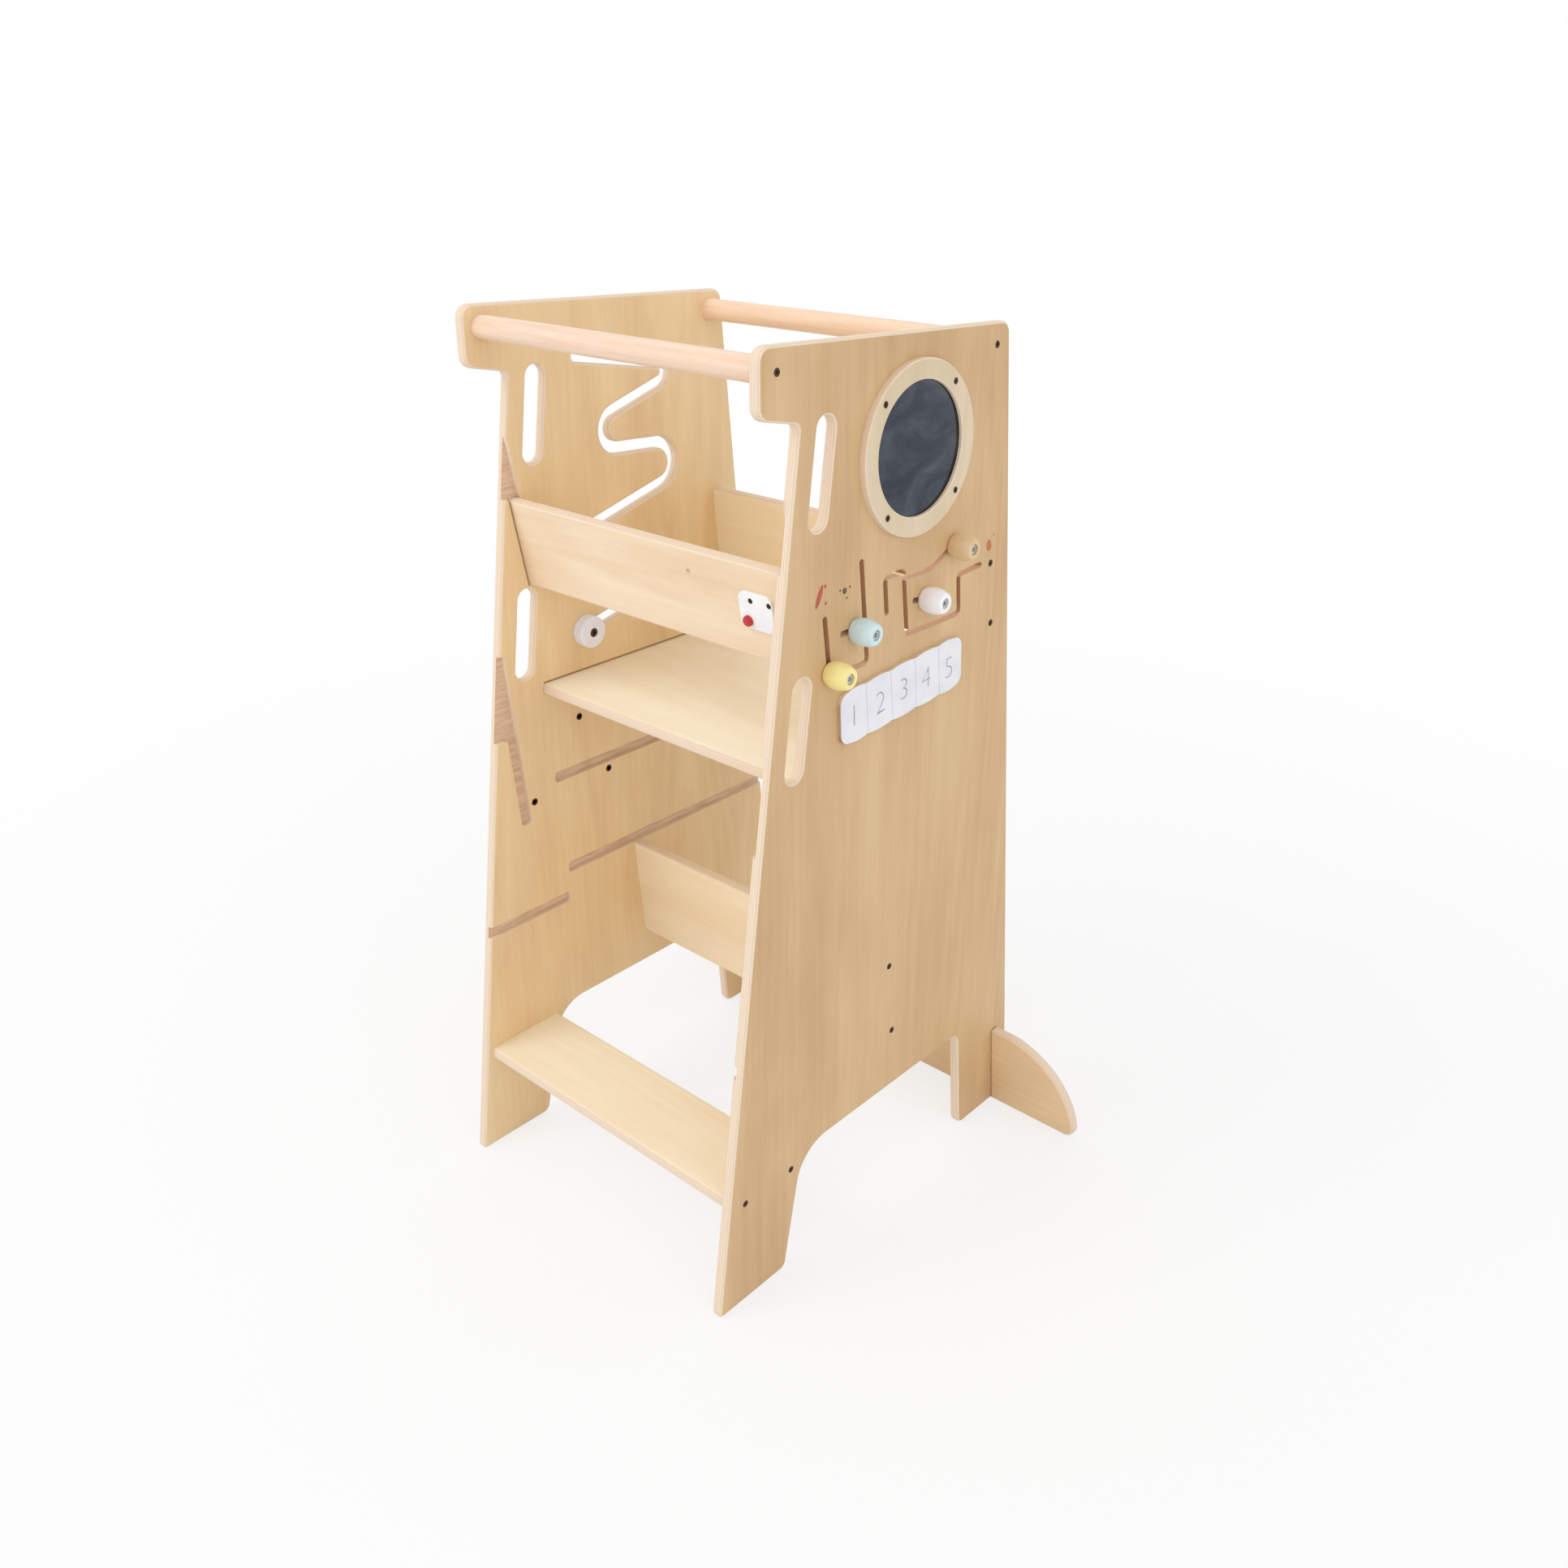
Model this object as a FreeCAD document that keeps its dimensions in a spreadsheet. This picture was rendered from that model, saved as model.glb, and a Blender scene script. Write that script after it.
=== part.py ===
import FreeCAD, Part
import math
import os
import Sketcher

from FreeCAD import Placement, Rotation, Vector

# Toddler learning tower of birch plywood. Millimetres, +Z up, the climbing side faces -Y.
# The origin lies on the floor, midway between the side panels and between toe and heel.
# Side panels stand in planes of constant X, so a place on a panel is written (y, z).

SIZES = {
    # side panels
    "panel_thickness": 12,
    "outer_width": 376,
    "tower_height": 900,
    "floor_depth": 480,
    "front_lean": 7.45,
    "rear_lean": 5.5,
    "top_fall": 2.35,
    "head_setback": 62.5,
    "head_drop": 55.8,
    "head_underside_fall": 11,
    "head_corner": 12,
    "neck_corner": 6,
    "toe_corner": 4,
    "foot_corner": 9,
    "front_foot_width": 92.5,
    "front_foot_taper": 11.5,
    "rear_foot_width": 94,
    "arch_height": 128,
    "arch_front_corner": 42,
    "arch_rear_corner": 13,
    "edge_round": 3.5,
    # hand slots, parallel to the front edge
    "hand_slot_width": 22,
    "hand_slot_length": 94,
    "hand_slot_inset": 33.5,
    "upper_hand_slot_height": 791.5,
    "lower_hand_slot_height": 575,
    # grooves in the inner faces
    "groove_depth": 5,
    "groove_play": 0.3,
    "groove_end_gap": 0.5,
    "groove_corner": 4,
    "upper_shelf_height": 511,
    "middle_shelf_height": 408,
    "lower_shelf_height": 296,
    "upper_shelf_front": -115,
    "middle_shelf_front": -107.5,
    "lower_shelf_front": -97,
    "short_groove_height": 261,
    "short_groove_end": -98,
    "upper_seat_y": -122.5,
    "upper_seat_height": 625,
    "upper_groove_tilt": 10.8,
    "upper_lip_length": 92,
    "lower_seat_y": -154.6,
    "lower_seat_height": 368,
    "lower_groove_tilt": 5.7,
    "lower_lip_length": 102,
    # boards
    "board_thickness": 12,
    "guard_height": 90,
    "rear_guard_inset": 31.3,
    "rear_guard_lift": 69,
    "platform_depth": 290,
    "cross_board_inset": 206.8,
    "cross_board_bottom": 169,
    "cross_board_width": 122,
    "step_inset": 7.35,
    "step_depth": 92,
    "step_top": 122,
    "stabiliser_inset": 24,
    "stabiliser_height": 99,
    "fin_reach": 110.5,
    "fin_fullness": 0.73,
    "fin_tip_round": 12,
    "halving_height": 49.5,
    "halving_play": 0.2,
    # dowels
    "dowel_diameter": 22,
    "front_dowel_inset": 20,
    "rear_dowel_inset": 18.5,
    "dowel_drop": 20,
    # wood screws
    "screw_diameter": 4,
    "screw_head_diameter": 6.8,
    "screw_length": 45,
    "screw_play": 0.03,
    "screw_from_end": 14,
    "cross_depth": 1.2,
    "cap_screw_diameter": 3,
    "cap_screw_head_diameter": 6,
    "cap_screw_length": 14,
    # threaded inserts
    "insert_diameter": 8,
    "insert_bore": 5,
    "insert_length": 8,
    # mirror on the outside of the right panel
    "mirror_y": 21,
    "mirror_height": 792.5,
    "ring_diameter": 154,
    "ring_opening": 118,
    "ring_thickness": 6,
    "ring_round": 2,
    "rebate_diameter": 128,
    "rebate_depth": 2.4,
    "glass_diameter": 127.4,
    "glass_thickness": 2,
    "ring_screw_circle": 138,
    "ring_screw_start": 49,
    # number plate
    "plate_length": 178,
    "plate_width": 49,
    "plate_thickness": 4,
    "plate_corner": 10,
    "plate_scallop": 1.6,
    "plate_tiles": 5,
    "plate_y": 9.5,
    "plate_height": 573.5,
    "plate_tilt": 3,
    "plate_seam": 1.2,
    # knob tracks and knobs on the right panel
    "track_width": 6,
    "track_corner": 5,
    "knob_length": 23.5,
    "knob_diameter": 24.5,
    "knob_base_diameter": 20,
    "knob_tip_diameter": 18,
    "knob_gap": 0.3,
    "knob_round": 1.5,
    "knob_recess_diameter": 10,
    "knob_recess_depth": 4.5,
    "bolt_diameter": 5,
    "bolt_head_diameter": 8.5,
    "bolt_head_height": 3.2,
    "bolt_play": 0.03,
    "retainer_diameter": 16,
    "retainer_thickness": 4.5,
    "retainer_skin": 1,
    # wave slot and its slider on the left panel
    "wave_width": 12,
    "slider_diameter": 34,
    "slider_thickness": 12.5,
    "slider_back_diameter": 28,
    "slider_back_thickness": 5,
    "slider_bush_diameter": 10.6,
    "slider_place": 3,
    "slider_round": 3,
    # badge on the front guard
    "badge_width": 39,
    "badge_height": 35,
    "badge_thickness": 3,
    "badge_corner": 8,
    "badge_round": 1,
    "badge_x": 142.5,
    "badge_lift": 48,
    "badge_screw_spacing": 21,
    "badge_screw_shift": 5.5,
    "badge_screw_rise": 10,
    "badge_screw_diameter": 2.5,
    "badge_screw_head_diameter": 5,
    "badge_screw_length": 10,
    "stud_shift": 10,
    "stud_drop": 9.5,
    "stud_diameter": 10,
    "stud_height": 4,
    "stud_stem_diameter": 4,
    "stud_stem_length": 9,
    "stud_round": 2.5,
}

doc = FreeCAD.newDocument("learning_tower")
sheet = doc.addObject("Spreadsheet::Sheet", "Sizes")
for row, (size_name, value) in enumerate(SIZES.items(), start=1):
    sheet.set(f"A{row}", size_name)
    sheet.set(f"B{row}", str(value))
    sheet.setAlias(f"B{row}", size_name)
doc.recompute()

NODES = {}


def size(name):
    """Value of a driving dimension."""
    return float(sheet.get(name))


def keep(name, thing):
    """Name a finished sub-part, which gives its STEP file the same name."""
    thing.Label = name
    NODES[name] = thing
    return thing


def sine(name):
    return math.sin(math.radians(size(name)))


def cosine(name):
    return math.cos(math.radians(size(name)))


def tangent(name):
    return math.tan(math.radians(size(name)))


# ---------------------------------------------------------------- panel geometry

half_depth = size("floor_depth") / 2
inner_half = size("outer_width") / 2 - size("panel_thickness")
inner_width = 2 * inner_half
slotted_length = inner_width + 2 * (size("groove_depth") - size("groove_end_gap"))
groove_width = size("board_thickness") + 2 * size("groove_play")
head_front_y = size("head_setback") - half_depth


def front_edge_y(z):
    return -half_depth + z * tangent("front_lean")


def rear_edge_y(z):
    return half_depth - z * tangent("rear_lean")


def top_edge_z(y):
    return size("tower_height") - (y - head_front_y) * tangent("top_fall")


def meet(point_a, slope_a, point_b, slope_b):
    """Crossing of two lines given by a point and a slope dy/dz."""
    (ya, za), (yb, zb) = point_a, point_b
    z = (yb - ya + slope_a * za - slope_b * zb) / (slope_a - slope_b)
    return ya + slope_a * (z - za), z


toe = (-half_depth, 0)
heel = (half_depth, 0)
top_rear = meet(heel, -tangent("rear_lean"), (head_front_y, size("tower_height")),
                -1 / tangent("top_fall"))


def panel_outline():
    """Corners of a side panel as (y, z, corner radius), from the toe round to the front foot."""
    underside = size("tower_height") - size("head_drop")
    neck = meet(toe, tangent("front_lean"), (head_front_y, underside),
                -1 / tangent("head_underside_fall"))
    arch = size("arch_height")
    front_leg = -half_depth + size("front_foot_width")
    rear_leg = half_depth - size("rear_foot_width")
    return [
        (*toe, size("toe_corner")),
        (*neck, size("neck_corner")),
        (head_front_y, underside, size("head_corner")),
        (head_front_y, size("tower_height"), size("head_corner")),
        (*top_rear, size("head_corner")),
        (*heel, size("foot_corner")),
        (rear_leg, 0, size("foot_corner")),
        (rear_leg - arch * tangent("rear_lean"), arch, size("arch_rear_corner")),
        (front_leg + arch * tangent("front_foot_taper"), arch, size("arch_front_corner")),
        (front_leg, 0, size("foot_corner")),
    ]


# ---------------------------------------------------------------- sketch and feature helpers

def rounded_edges(corners, closed=True):
    """Lines and arcs through the corners (u, v, radius), each corner rounded by its radius."""
    count = len(corners)
    ends = []
    for index, (u, v, radius) in enumerate(corners):
        here = Vector(u, v, 0)
        if not closed and index in (0, count - 1):
            ends.append((here, None, here))
            continue
        before = (Vector(*corners[index - 1][:2], 0) - here).normalize()
        after = (Vector(*corners[(index + 1) % count][:2], 0) - here).normalize()
        half_angle = before.getAngle(after) / 2
        if radius <= 0:
            ends.append((here, None, here))
            continue
        reach = radius / math.tan(half_angle)
        inward = (before + after).normalize()
        centre = here + inward * (radius / math.sin(half_angle))
        ends.append((here + before * reach, centre - inward * radius, here + after * reach))
    edges = []
    for index, (start, middle, stop) in enumerate(ends):
        if middle is not None:
            edges.append(Part.Arc(start, middle, stop))
        if closed or index < count - 1:
            following = ends[(index + 1) % count][0]
            if (following - stop).Length > 1e-6:
                edges.append(Part.LineSegment(stop, following))
    return edges


def track_edges(path, width):
    """Outline of a round-ended slot of the given width along a path of rounded corners."""
    half = width / 2
    points = [Vector(u, v, 0) for u, v, _ in path]
    runs = [(after - before).normalize() for before, after in zip(points, points[1:])]
    lefts = [Vector(-run.y, run.x, 0) for run in runs]

    def bank(side):
        """Corners of one side of the slot: side is 1 on the left and -1 on the right."""
        corners = [points[0] + lefts[0] * half * side]
        radii = [0]
        for index in range(1, len(points) - 1):
            before, after = lefts[index - 1], lefts[index]
            mitre = (before + after) * (half * side / (1 + before.dot(after)))
            turn = 1 if runs[index - 1].cross(runs[index]).z > 0 else -1
            corners.append(points[index] + mitre)
            radii.append(path[index][2] - half * side * turn)
        corners.append(points[-1] + lefts[-1] * half * side)
        radii.append(0)
        return [(corner.x, corner.y, radius) for corner, radius in zip(corners, radii)]

    left, right = bank(1), bank(-1)[::-1]
    far_cap = Part.Arc(Vector(*left[-1][:2], 0), points[-1] + runs[-1] * half, Vector(*right[0][:2], 0))
    near_cap = Part.Arc(Vector(*right[-1][:2], 0), points[0] - runs[0] * half, Vector(*left[0][:2], 0))
    sides = rounded_edges(left, closed=False) + rounded_edges(right, closed=False)
    return [*sides, far_cap, near_cap]


def new_body(name):
    body = doc.addObject("PartDesign::Body", name)
    body.Label = name
    return body


def new_sketch(body, name, role, offset=0.0):
    """Sketch on an origin plane of its own body, moved by offset along the plane's normal."""
    plane = next(item for item in body.Origin.OriginFeatures if item.Role == role)
    sketch = body.newObject("Sketcher::SketchObject", f"{body.Name}_{name}")
    sketch.AttachmentSupport = [(plane, "")]
    sketch.MapMode = "FlatFace"
    sketch.AttachmentOffset = Placement(Vector(0, 0, offset), Rotation())
    return sketch


def add_circles(sketch, places, diameter):
    for u, v in places:
        sketch.addGeometry(Part.Circle(Vector(u, v, 0), Vector(0, 0, 1), diameter / 2))


def pad(body, sketch, length, both_ways=False, backwards=False):
    """Pad whose length is an expression of the sheet."""
    feature = body.newObject("PartDesign::Pad", f"{sketch.Name}_pad")
    feature.Profile = sketch
    feature.Midplane = both_ways
    feature.Reversed = backwards
    feature.setExpression("Length", length)
    doc.recompute()
    return feature


def pocket(body, sketch, length, backwards=False, both_ways=False):
    """Pocket that has to take material away, or part.py stops."""
    before = body.Shape.Volume
    feature = body.newObject("PartDesign::Pocket", f"{sketch.Name}_pocket")
    feature.Profile = sketch
    feature.Reversed = backwards
    feature.Midplane = both_ways
    feature.setExpression("Length", length)
    doc.recompute()
    if body.Shape.Volume >= before - 1e-3:
        raise RuntimeError(f"{feature.Name} cuts nothing")
    return feature


def revolve(body, sketch, axis_name):
    feature = body.newObject("PartDesign::Revolution", f"{sketch.Name}_turn")
    feature.Profile = sketch
    feature.ReferenceAxis = (sketch, [axis_name])
    feature.Angle = 360
    doc.recompute()
    return feature


def fillet(body, chosen, radius):
    """Round the edges of the body's tip that the test picks."""
    tip = body.Tip
    names = [f"Edge{number}" for number, edge in enumerate(tip.Shape.Edges, start=1) if chosen(edge)]
    feature = body.newObject("PartDesign::Fillet", f"{body.Name}_round{len(body.Group)}")
    feature.Base = (tip, names)
    feature.setExpression("Radius", radius)
    doc.recompute()
    return feature


def flat_at(axis, level):
    """Test for edges that lie in the plane where one coordinate has one value."""
    def chosen(edge):
        box = edge.BoundBox
        low, high = getattr(box, axis + "Min"), getattr(box, axis + "Max")
        return abs(low - level) < 1e-4 and abs(high - level) < 1e-4
    return chosen


def along_x(edge):
    """Test for straight edges parallel to X."""
    box = edge.BoundBox
    return box.XLength > 1 and box.YLength < 1e-4 and box.ZLength < 1e-4


OUT_RIGHT = Rotation(Vector(1, 1, 1), 120)
OUT_LEFT = Rotation(Vector(0, 0, 1), 180) * OUT_RIGHT


def on_panel(x, place, turn=OUT_RIGHT):
    """Placement of a piece whose local +Z leaves a panel's face at (y, z)."""
    return Placement(Vector(x, place[0], place[1]), turn)


# ---------------------------------------------------------------- places shared by panels and boards

def leaning_point(inset, bottom, rise):
    """Point on the middle plane of a board set parallel to the rear edge."""
    z = bottom + rise * cosine("rear_lean")
    return rear_edge_y(z) - inset, z


def under_top_edge(y):
    return y, top_edge_z(y) - size("dowel_drop")


screw_from_end = size("screw_from_end")
step_middle_z = size("step_top") - size("board_thickness") / 2
step_front = front_edge_y(step_middle_z) + size("step_inset")
step_screw_rises = (screw_from_end, size("step_depth") - screw_from_end)
step_screws = [(step_front + rise, step_middle_z) for rise in step_screw_rises]
cross_board_rises = (2 * screw_from_end, size("cross_board_width") - screw_from_end)
cross_board_screws = [
    leaning_point(size("cross_board_inset"), size("cross_board_bottom"), rise)
    for rise in cross_board_rises
]
rear_guard_bottom = size("upper_shelf_height") + size("board_thickness") / 2 + size("rear_guard_lift")
rear_guard_rises = (screw_from_end, size("guard_height") - screw_from_end)
rear_guard_screws = [
    leaning_point(size("rear_guard_inset"), rear_guard_bottom, rise) for rise in rear_guard_rises
]
dowel_places = {
    "front_dowel": under_top_edge(head_front_y + size("front_dowel_inset")),
    "rear_dowel": under_top_edge(top_rear[0] - size("rear_dowel_inset")),
}
SHELVES = [
    (size(f"{level}_shelf_front"), size(f"{level}_shelf_height")) for level in ("upper", "middle", "lower")
]
upper_seat = (size("upper_seat_y"), size("upper_seat_height"))
lower_seat = (size("lower_seat_y"), size("lower_seat_height"))
insert_places = [(-136.5, 390.5), (-33, 394), (-70, 467)]
ring_screw_radius = size("ring_screw_circle") / 2
ring_screw_angles = [math.radians(size("ring_screw_start") + quarter) for quarter in (0, 90, 180, 270)]
ring_screw_spots = [(ring_screw_radius * math.cos(angle), ring_screw_radius * math.sin(angle))
                    for angle in ring_screw_angles]

# Places on the guard's front face as (x, height above its lower edge).
badge_screw_middle = size("badge_x") + size("badge_screw_shift")
BADGE_SCREWS = [
    (badge_screw_middle + side * size("badge_screw_spacing") / 2, size("badge_lift") + size("badge_screw_rise"))
    for side in (-1, 1)
]
BADGE_STUD = (size("badge_x") - size("stud_shift"), size("badge_lift") - size("stud_drop"))


def before_heel(path):
    """Path whose first numbers are distances in front of the heel."""
    return [(heel[0] - reach, *rest) for reach, *rest in path]


# Knob tracks cut through the right panel, as rounded paths with height and corner radius. The front
# pair lies beside the guard, and the rear pair keeps its distance from the heel.
corner = size("track_corner")
KNOB_TRACKS = {
    "double_lane": [(-98.5, 667, 0), (-91, 613, corner), (-40.5, 613, corner), (-51, 706.5, 0)],
    "side_lane": [(-45, 648, 0), (-75, 648, 0)],
    "crank_lane": before_heel([
        (254.5, 652, 0), (258, 685, corner), (231.5, 685, corner), (224, 624, corner),
        (144, 624, corner), (147.5, 662.5, corner), (113, 664, 0),
    ]),
    "branch_lane": before_heel([(229.6, 678, 0), (190, 678, corner), (156.8, 693.5, 0)]),
    "cross_lane": before_heel([(214, 653, 0), (184, 651, 0)]),
}
white_spot, natural_spot = before_heel([(199, 652), (157.7, 693.1)])
KNOB_SPOTS = {"yellow": (-91.6, 617.5), "teal": (-58, 648), "white": white_spot, "natural": natural_spot}

# Wave slot through the left panel, ending in the straight stretch that carries the slider.
slider_end = (-57, 559.4)
WAVE_PATH = [
    (-46, 840, 0), (106, 814, 10.6), (-105, 748.7, 19.6), (193, 730.7, 22.2),
    (-126, 644.6, 14.5), (180, 614, 22.9), (*slider_end, 0),
]
slider_run = Vector(0, WAVE_PATH[-2][0] - slider_end[0], WAVE_PATH[-2][1] - slider_end[1]).normalize()
slider_place = (
    slider_end[0] + slider_run.y * size("slider_place"),
    slider_end[1] + slider_run.z * size("slider_place"),
)


# ---------------------------------------------------------------- side panels

def shelf_groove(front, height):
    """Level groove from a blunt front end to behind the rear edge."""
    half = groove_width / 2
    rear = half_depth
    bend = size("groove_corner")
    return rounded_edges([
        (front, height - half, bend), (front, height + half, bend),
        (rear, height + half, 0), (rear, height - half, 0),
    ])


def short_groove():
    """Level groove that opens at the front edge."""
    half = groove_width / 2
    end, height = size("short_groove_end"), size("short_groove_height")
    bend = size("groove_corner")
    return rounded_edges([
        (-half_depth, height - half, 0), (-half_depth, height + half, 0),
        (end, height + half, bend), (end, height - half, bend),
    ])


def guard_groove(seat_place, tilt, lip_length):
    """Tilted seat for the guard: closed below its lip, open to the front edge above it."""
    lean = math.radians(tilt)
    up = Vector(-math.sin(lean), math.cos(lean), 0)
    back = Vector(math.cos(lean), math.sin(lean), 0)
    seat = Vector(*seat_place, 0)
    back_foot = seat + back * groove_width
    lip = seat + up * lip_length
    clear_of_edge = 90
    back_top = back_foot + up * (lip_length + clear_of_edge)
    bend = size("groove_corner")
    return rounded_edges([
        (seat.x, seat.y, bend), (lip.x, lip.y, size("groove_corner")),
        (lip.x - clear_of_edge, lip.y, 0), (back_top.x - clear_of_edge, back_top.y, 0),
        (back_top.x, back_top.y, 0), (back_foot.x, back_foot.y, bend),
    ])


def halving_slot():
    """Slot up from the floor for the stabiliser, parallel to the rear edge."""
    half = (size("board_thickness") / 2 + size("halving_play")) / cosine("rear_lean")
    top = size("halving_height") + size("halving_play")
    middle = half_depth - size("stabiliser_inset")
    shift = tangent("rear_lean")
    corners = [(-half, -5), (half, -5), (half, top), (-half, top)]
    return rounded_edges([(middle + dy - shift * z, z, 0) for dy, z in corners])


def hand_slot(height):
    """Long round-ended hand hold beside the front edge."""
    middle_y = front_edge_y(height) + size("hand_slot_inset")
    reach = (size("hand_slot_length") - size("hand_slot_width")) / 2
    dy, dz = reach * sine("front_lean"), reach * cosine("front_lean")
    path = [(middle_y - dy, height - dz, 0), (middle_y + dy, height + dz, 0)]
    return track_edges(path, size("hand_slot_width"))


def screw_holes(body, sketch, shank, head):
    """Countersunk through holes, mouth at the sketch's side."""
    hole = body.newObject("PartDesign::Hole", f"{sketch.Name}_hole")
    hole.Profile = sketch
    doc.recompute()
    hole.Threaded = False
    hole.DepthType = "ThroughAll"
    hole.Diameter = size(shank) + 2 * size("screw_play")
    hole.HoleCutType = "Countersink"
    hole.HoleCutCustomValues = True
    hole.HoleCutDiameter = size(head) + 0.4
    hole.HoleCutCountersinkAngle = 90
    return hole


def side_panel(name, side, through_cuts, outer_bores):
    """One side panel. Its inner face is the local plane x = 0 and side gives its outward X."""
    body = new_body(name)
    right = side > 0
    outline = new_sketch(body, "outline", "YZ_Plane")
    outline.addGeometry(rounded_edges(panel_outline()))
    pad(body, outline, "Sizes.panel_thickness", backwards=not right)
    for number, edges in enumerate(through_cuts["soft"]):
        opening = new_sketch(body, f"opening{number}", "YZ_Plane")
        opening.addGeometry(edges)
        pocket(body, opening, "Sizes.panel_thickness", backwards=right)
    outer_x = side * size("panel_thickness")
    inner_edge, outer_edge = flat_at("X", 0), flat_at("X", outer_x)
    fillet(body, lambda edge: inner_edge(edge) or outer_edge(edge), "Sizes.edge_round")
    for number, edges in enumerate(through_cuts["crisp"]):
        lane = new_sketch(body, f"lane{number}", "YZ_Plane")
        lane.addGeometry(edges)
        pocket(body, lane, "Sizes.panel_thickness", backwards=right)
    grooves = [
        *(shelf_groove(*shelf) for shelf in SHELVES),
        short_groove(),
        guard_groove(upper_seat, size("upper_groove_tilt"), size("upper_lip_length")),
        guard_groove(lower_seat, size("lower_groove_tilt"), size("lower_lip_length")),
    ]
    for number, edges in enumerate(grooves):
        groove = new_sketch(body, f"groove{number}", "YZ_Plane")
        groove.addGeometry(edges)
        pocket(body, groove, "Sizes.groove_depth", backwards=right)
    halving = new_sketch(body, "halving", "YZ_Plane")
    halving.addGeometry(halving_slot())
    pocket(body, halving, "Sizes.panel_thickness", backwards=right)
    bores = new_sketch(body, "inserts", "YZ_Plane")
    add_circles(bores, insert_places, size("insert_diameter") + 2 * size("screw_play"))
    pocket(body, bores, "Sizes.insert_length + Sizes.groove_play", backwards=right)
    for number, (places, shank, head) in enumerate(outer_bores):
        holes = new_sketch(body, f"screws{number}", "YZ_Plane", outer_x)
        add_circles(holes, places, size(shank))
        doc.recompute()
        before = body.Shape.Volume
        hole = screw_holes(body, holes, shank, head)
        hole.Reversed = not right
        doc.recompute()
        if body.Shape.Volume >= before:
            raise RuntimeError(f"{hole.Name} cuts nothing")
    body.Placement.Base = Vector(side * inner_half, 0, 0)
    return keep(name, body)


def blind_bores(body, name, role, offset, places, diameter, depth, backwards):
    """Pilot bores of one diameter, drilled from a plane."""
    bores = new_sketch(body, name, role, offset)
    add_circles(bores, places, size(diameter) + 2 * size("screw_play"))
    pocket(body, bores, depth, backwards=backwards)


hand_slots = [hand_slot(size("upper_hand_slot_height")), hand_slot(size("lower_hand_slot_height"))]
board_screws = [*step_screws, *cross_board_screws, *rear_guard_screws, *dowel_places.values()]
wood_bores = (board_screws, "screw_diameter", "screw_head_diameter")

knob_lanes = [track_edges(path, size("track_width")) for path in KNOB_TRACKS.values()]
right_panel = side_panel("side_panel_right", 1, {"soft": hand_slots, "crisp": knob_lanes}, [wood_bores])
blind_bores(right_panel, "mirror_pilots", "YZ_Plane", size("panel_thickness"),
            [(size("mirror_y") + u, size("mirror_height") + v) for u, v in ring_screw_spots],
            "cap_screw_diameter",
            "Sizes.cap_screw_length - Sizes.ring_thickness + Sizes.groove_play", False)
wave_slot = track_edges(WAVE_PATH, size("wave_width"))
side_panel("side_panel_left", -1, {"soft": [*hand_slots, wave_slot], "crisp": []}, [wood_bores])


# ---------------------------------------------------------------- boards and dowels

def bind_rectangle(sketch, width, height):
    """Rectangle centred on the sketch's first axis and standing on it, sized by expressions."""
    half, tall = 50, 50
    corners = [Vector(-half, 0, 0), Vector(half, 0, 0), Vector(half, tall, 0), Vector(-half, tall, 0)]
    for start, stop in zip(corners, corners[1:] + corners[:1]):
        sketch.addGeometry(Part.LineSegment(start, stop))
    for line in range(4):
        sketch.addConstraint(Sketcher.Constraint("Coincident", line, 2, (line + 1) % 4, 1))
    for line, way in enumerate(["Vertical", "Horizontal", "Vertical"], start=1):
        sketch.addConstraint(Sketcher.Constraint(way, line))
    sketch.addConstraint(Sketcher.Constraint("PointOnObject", 0, 1, -1))
    sketch.addConstraint(Sketcher.Constraint("Symmetric", 0, 1, 0, 2, -2))
    for name, line, value, expression in (("Width", 0, 2 * half, width), ("Height", 1, tall, height)):
        index = sketch.addConstraint(Sketcher.Constraint("Distance", line, value))
        sketch.renameConstraint(index, name)
        sketch.setExpression(f"Constraints.{name}", expression)


INNER_WIDTH = "(Sizes.outer_width - 2 * Sizes.panel_thickness)"
SLOTTED_LENGTH = f"({INNER_WIDTH} + 2 * Sizes.groove_depth - 2 * Sizes.groove_end_gap)"
BORE_DEPTH = "(Sizes.screw_length - Sizes.panel_thickness + Sizes.groove_play)"


def end_bores(body, length, rises):
    """Pilot bores for the wood screws in both ends of a board or dowel."""
    for number, end in enumerate((-1, 1)):
        bores = new_sketch(body, f"end{number}", "YZ_Plane", end * length / 2)
        add_circles(bores, [(0, rise) for rise in rises], size("screw_diameter") + 2 * size("screw_play"))
        pocket(body, bores, BORE_DEPTH, backwards=end < 0)


def board(name, length, width, placement, screw_rises=()):
    """Plain board: long along local X, width up local Z, its middle plane at local y = 0."""
    body = new_body(name)
    face = new_sketch(body, "face", "XZ_Plane")
    bind_rectangle(face, length, width)
    pad(body, face, "Sizes.board_thickness", both_ways=True)
    fillet(body, along_x, "Sizes.edge_round")
    if screw_rises:
        end_bores(body, inner_width, screw_rises)
    body.Placement = placement
    return keep(name, body)


def dowel(name, place):
    """Round rail between the inner faces of the panels."""
    body = new_body(name)
    end = new_sketch(body, "end", "YZ_Plane")
    add_circles(end, [(0, 0)], size("dowel_diameter"))
    pad(body, end, INNER_WIDTH, both_ways=True)
    end_bores(body, inner_width, [0])
    body.Placement.Base = Vector(0, *place)
    return keep(name, body)


def tilted(degrees):
    """Turn about X that tips the top of a board forward."""
    return Rotation(Vector(1, 0, 0), degrees)


def leaning(inset, bottom):
    """Placement of a board set parallel to the rear edge."""
    return Placement(Vector(0, *leaning_point(inset, bottom, 0)), tilted(size("rear_lean")))


LEVEL = tilted(-90)

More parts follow.
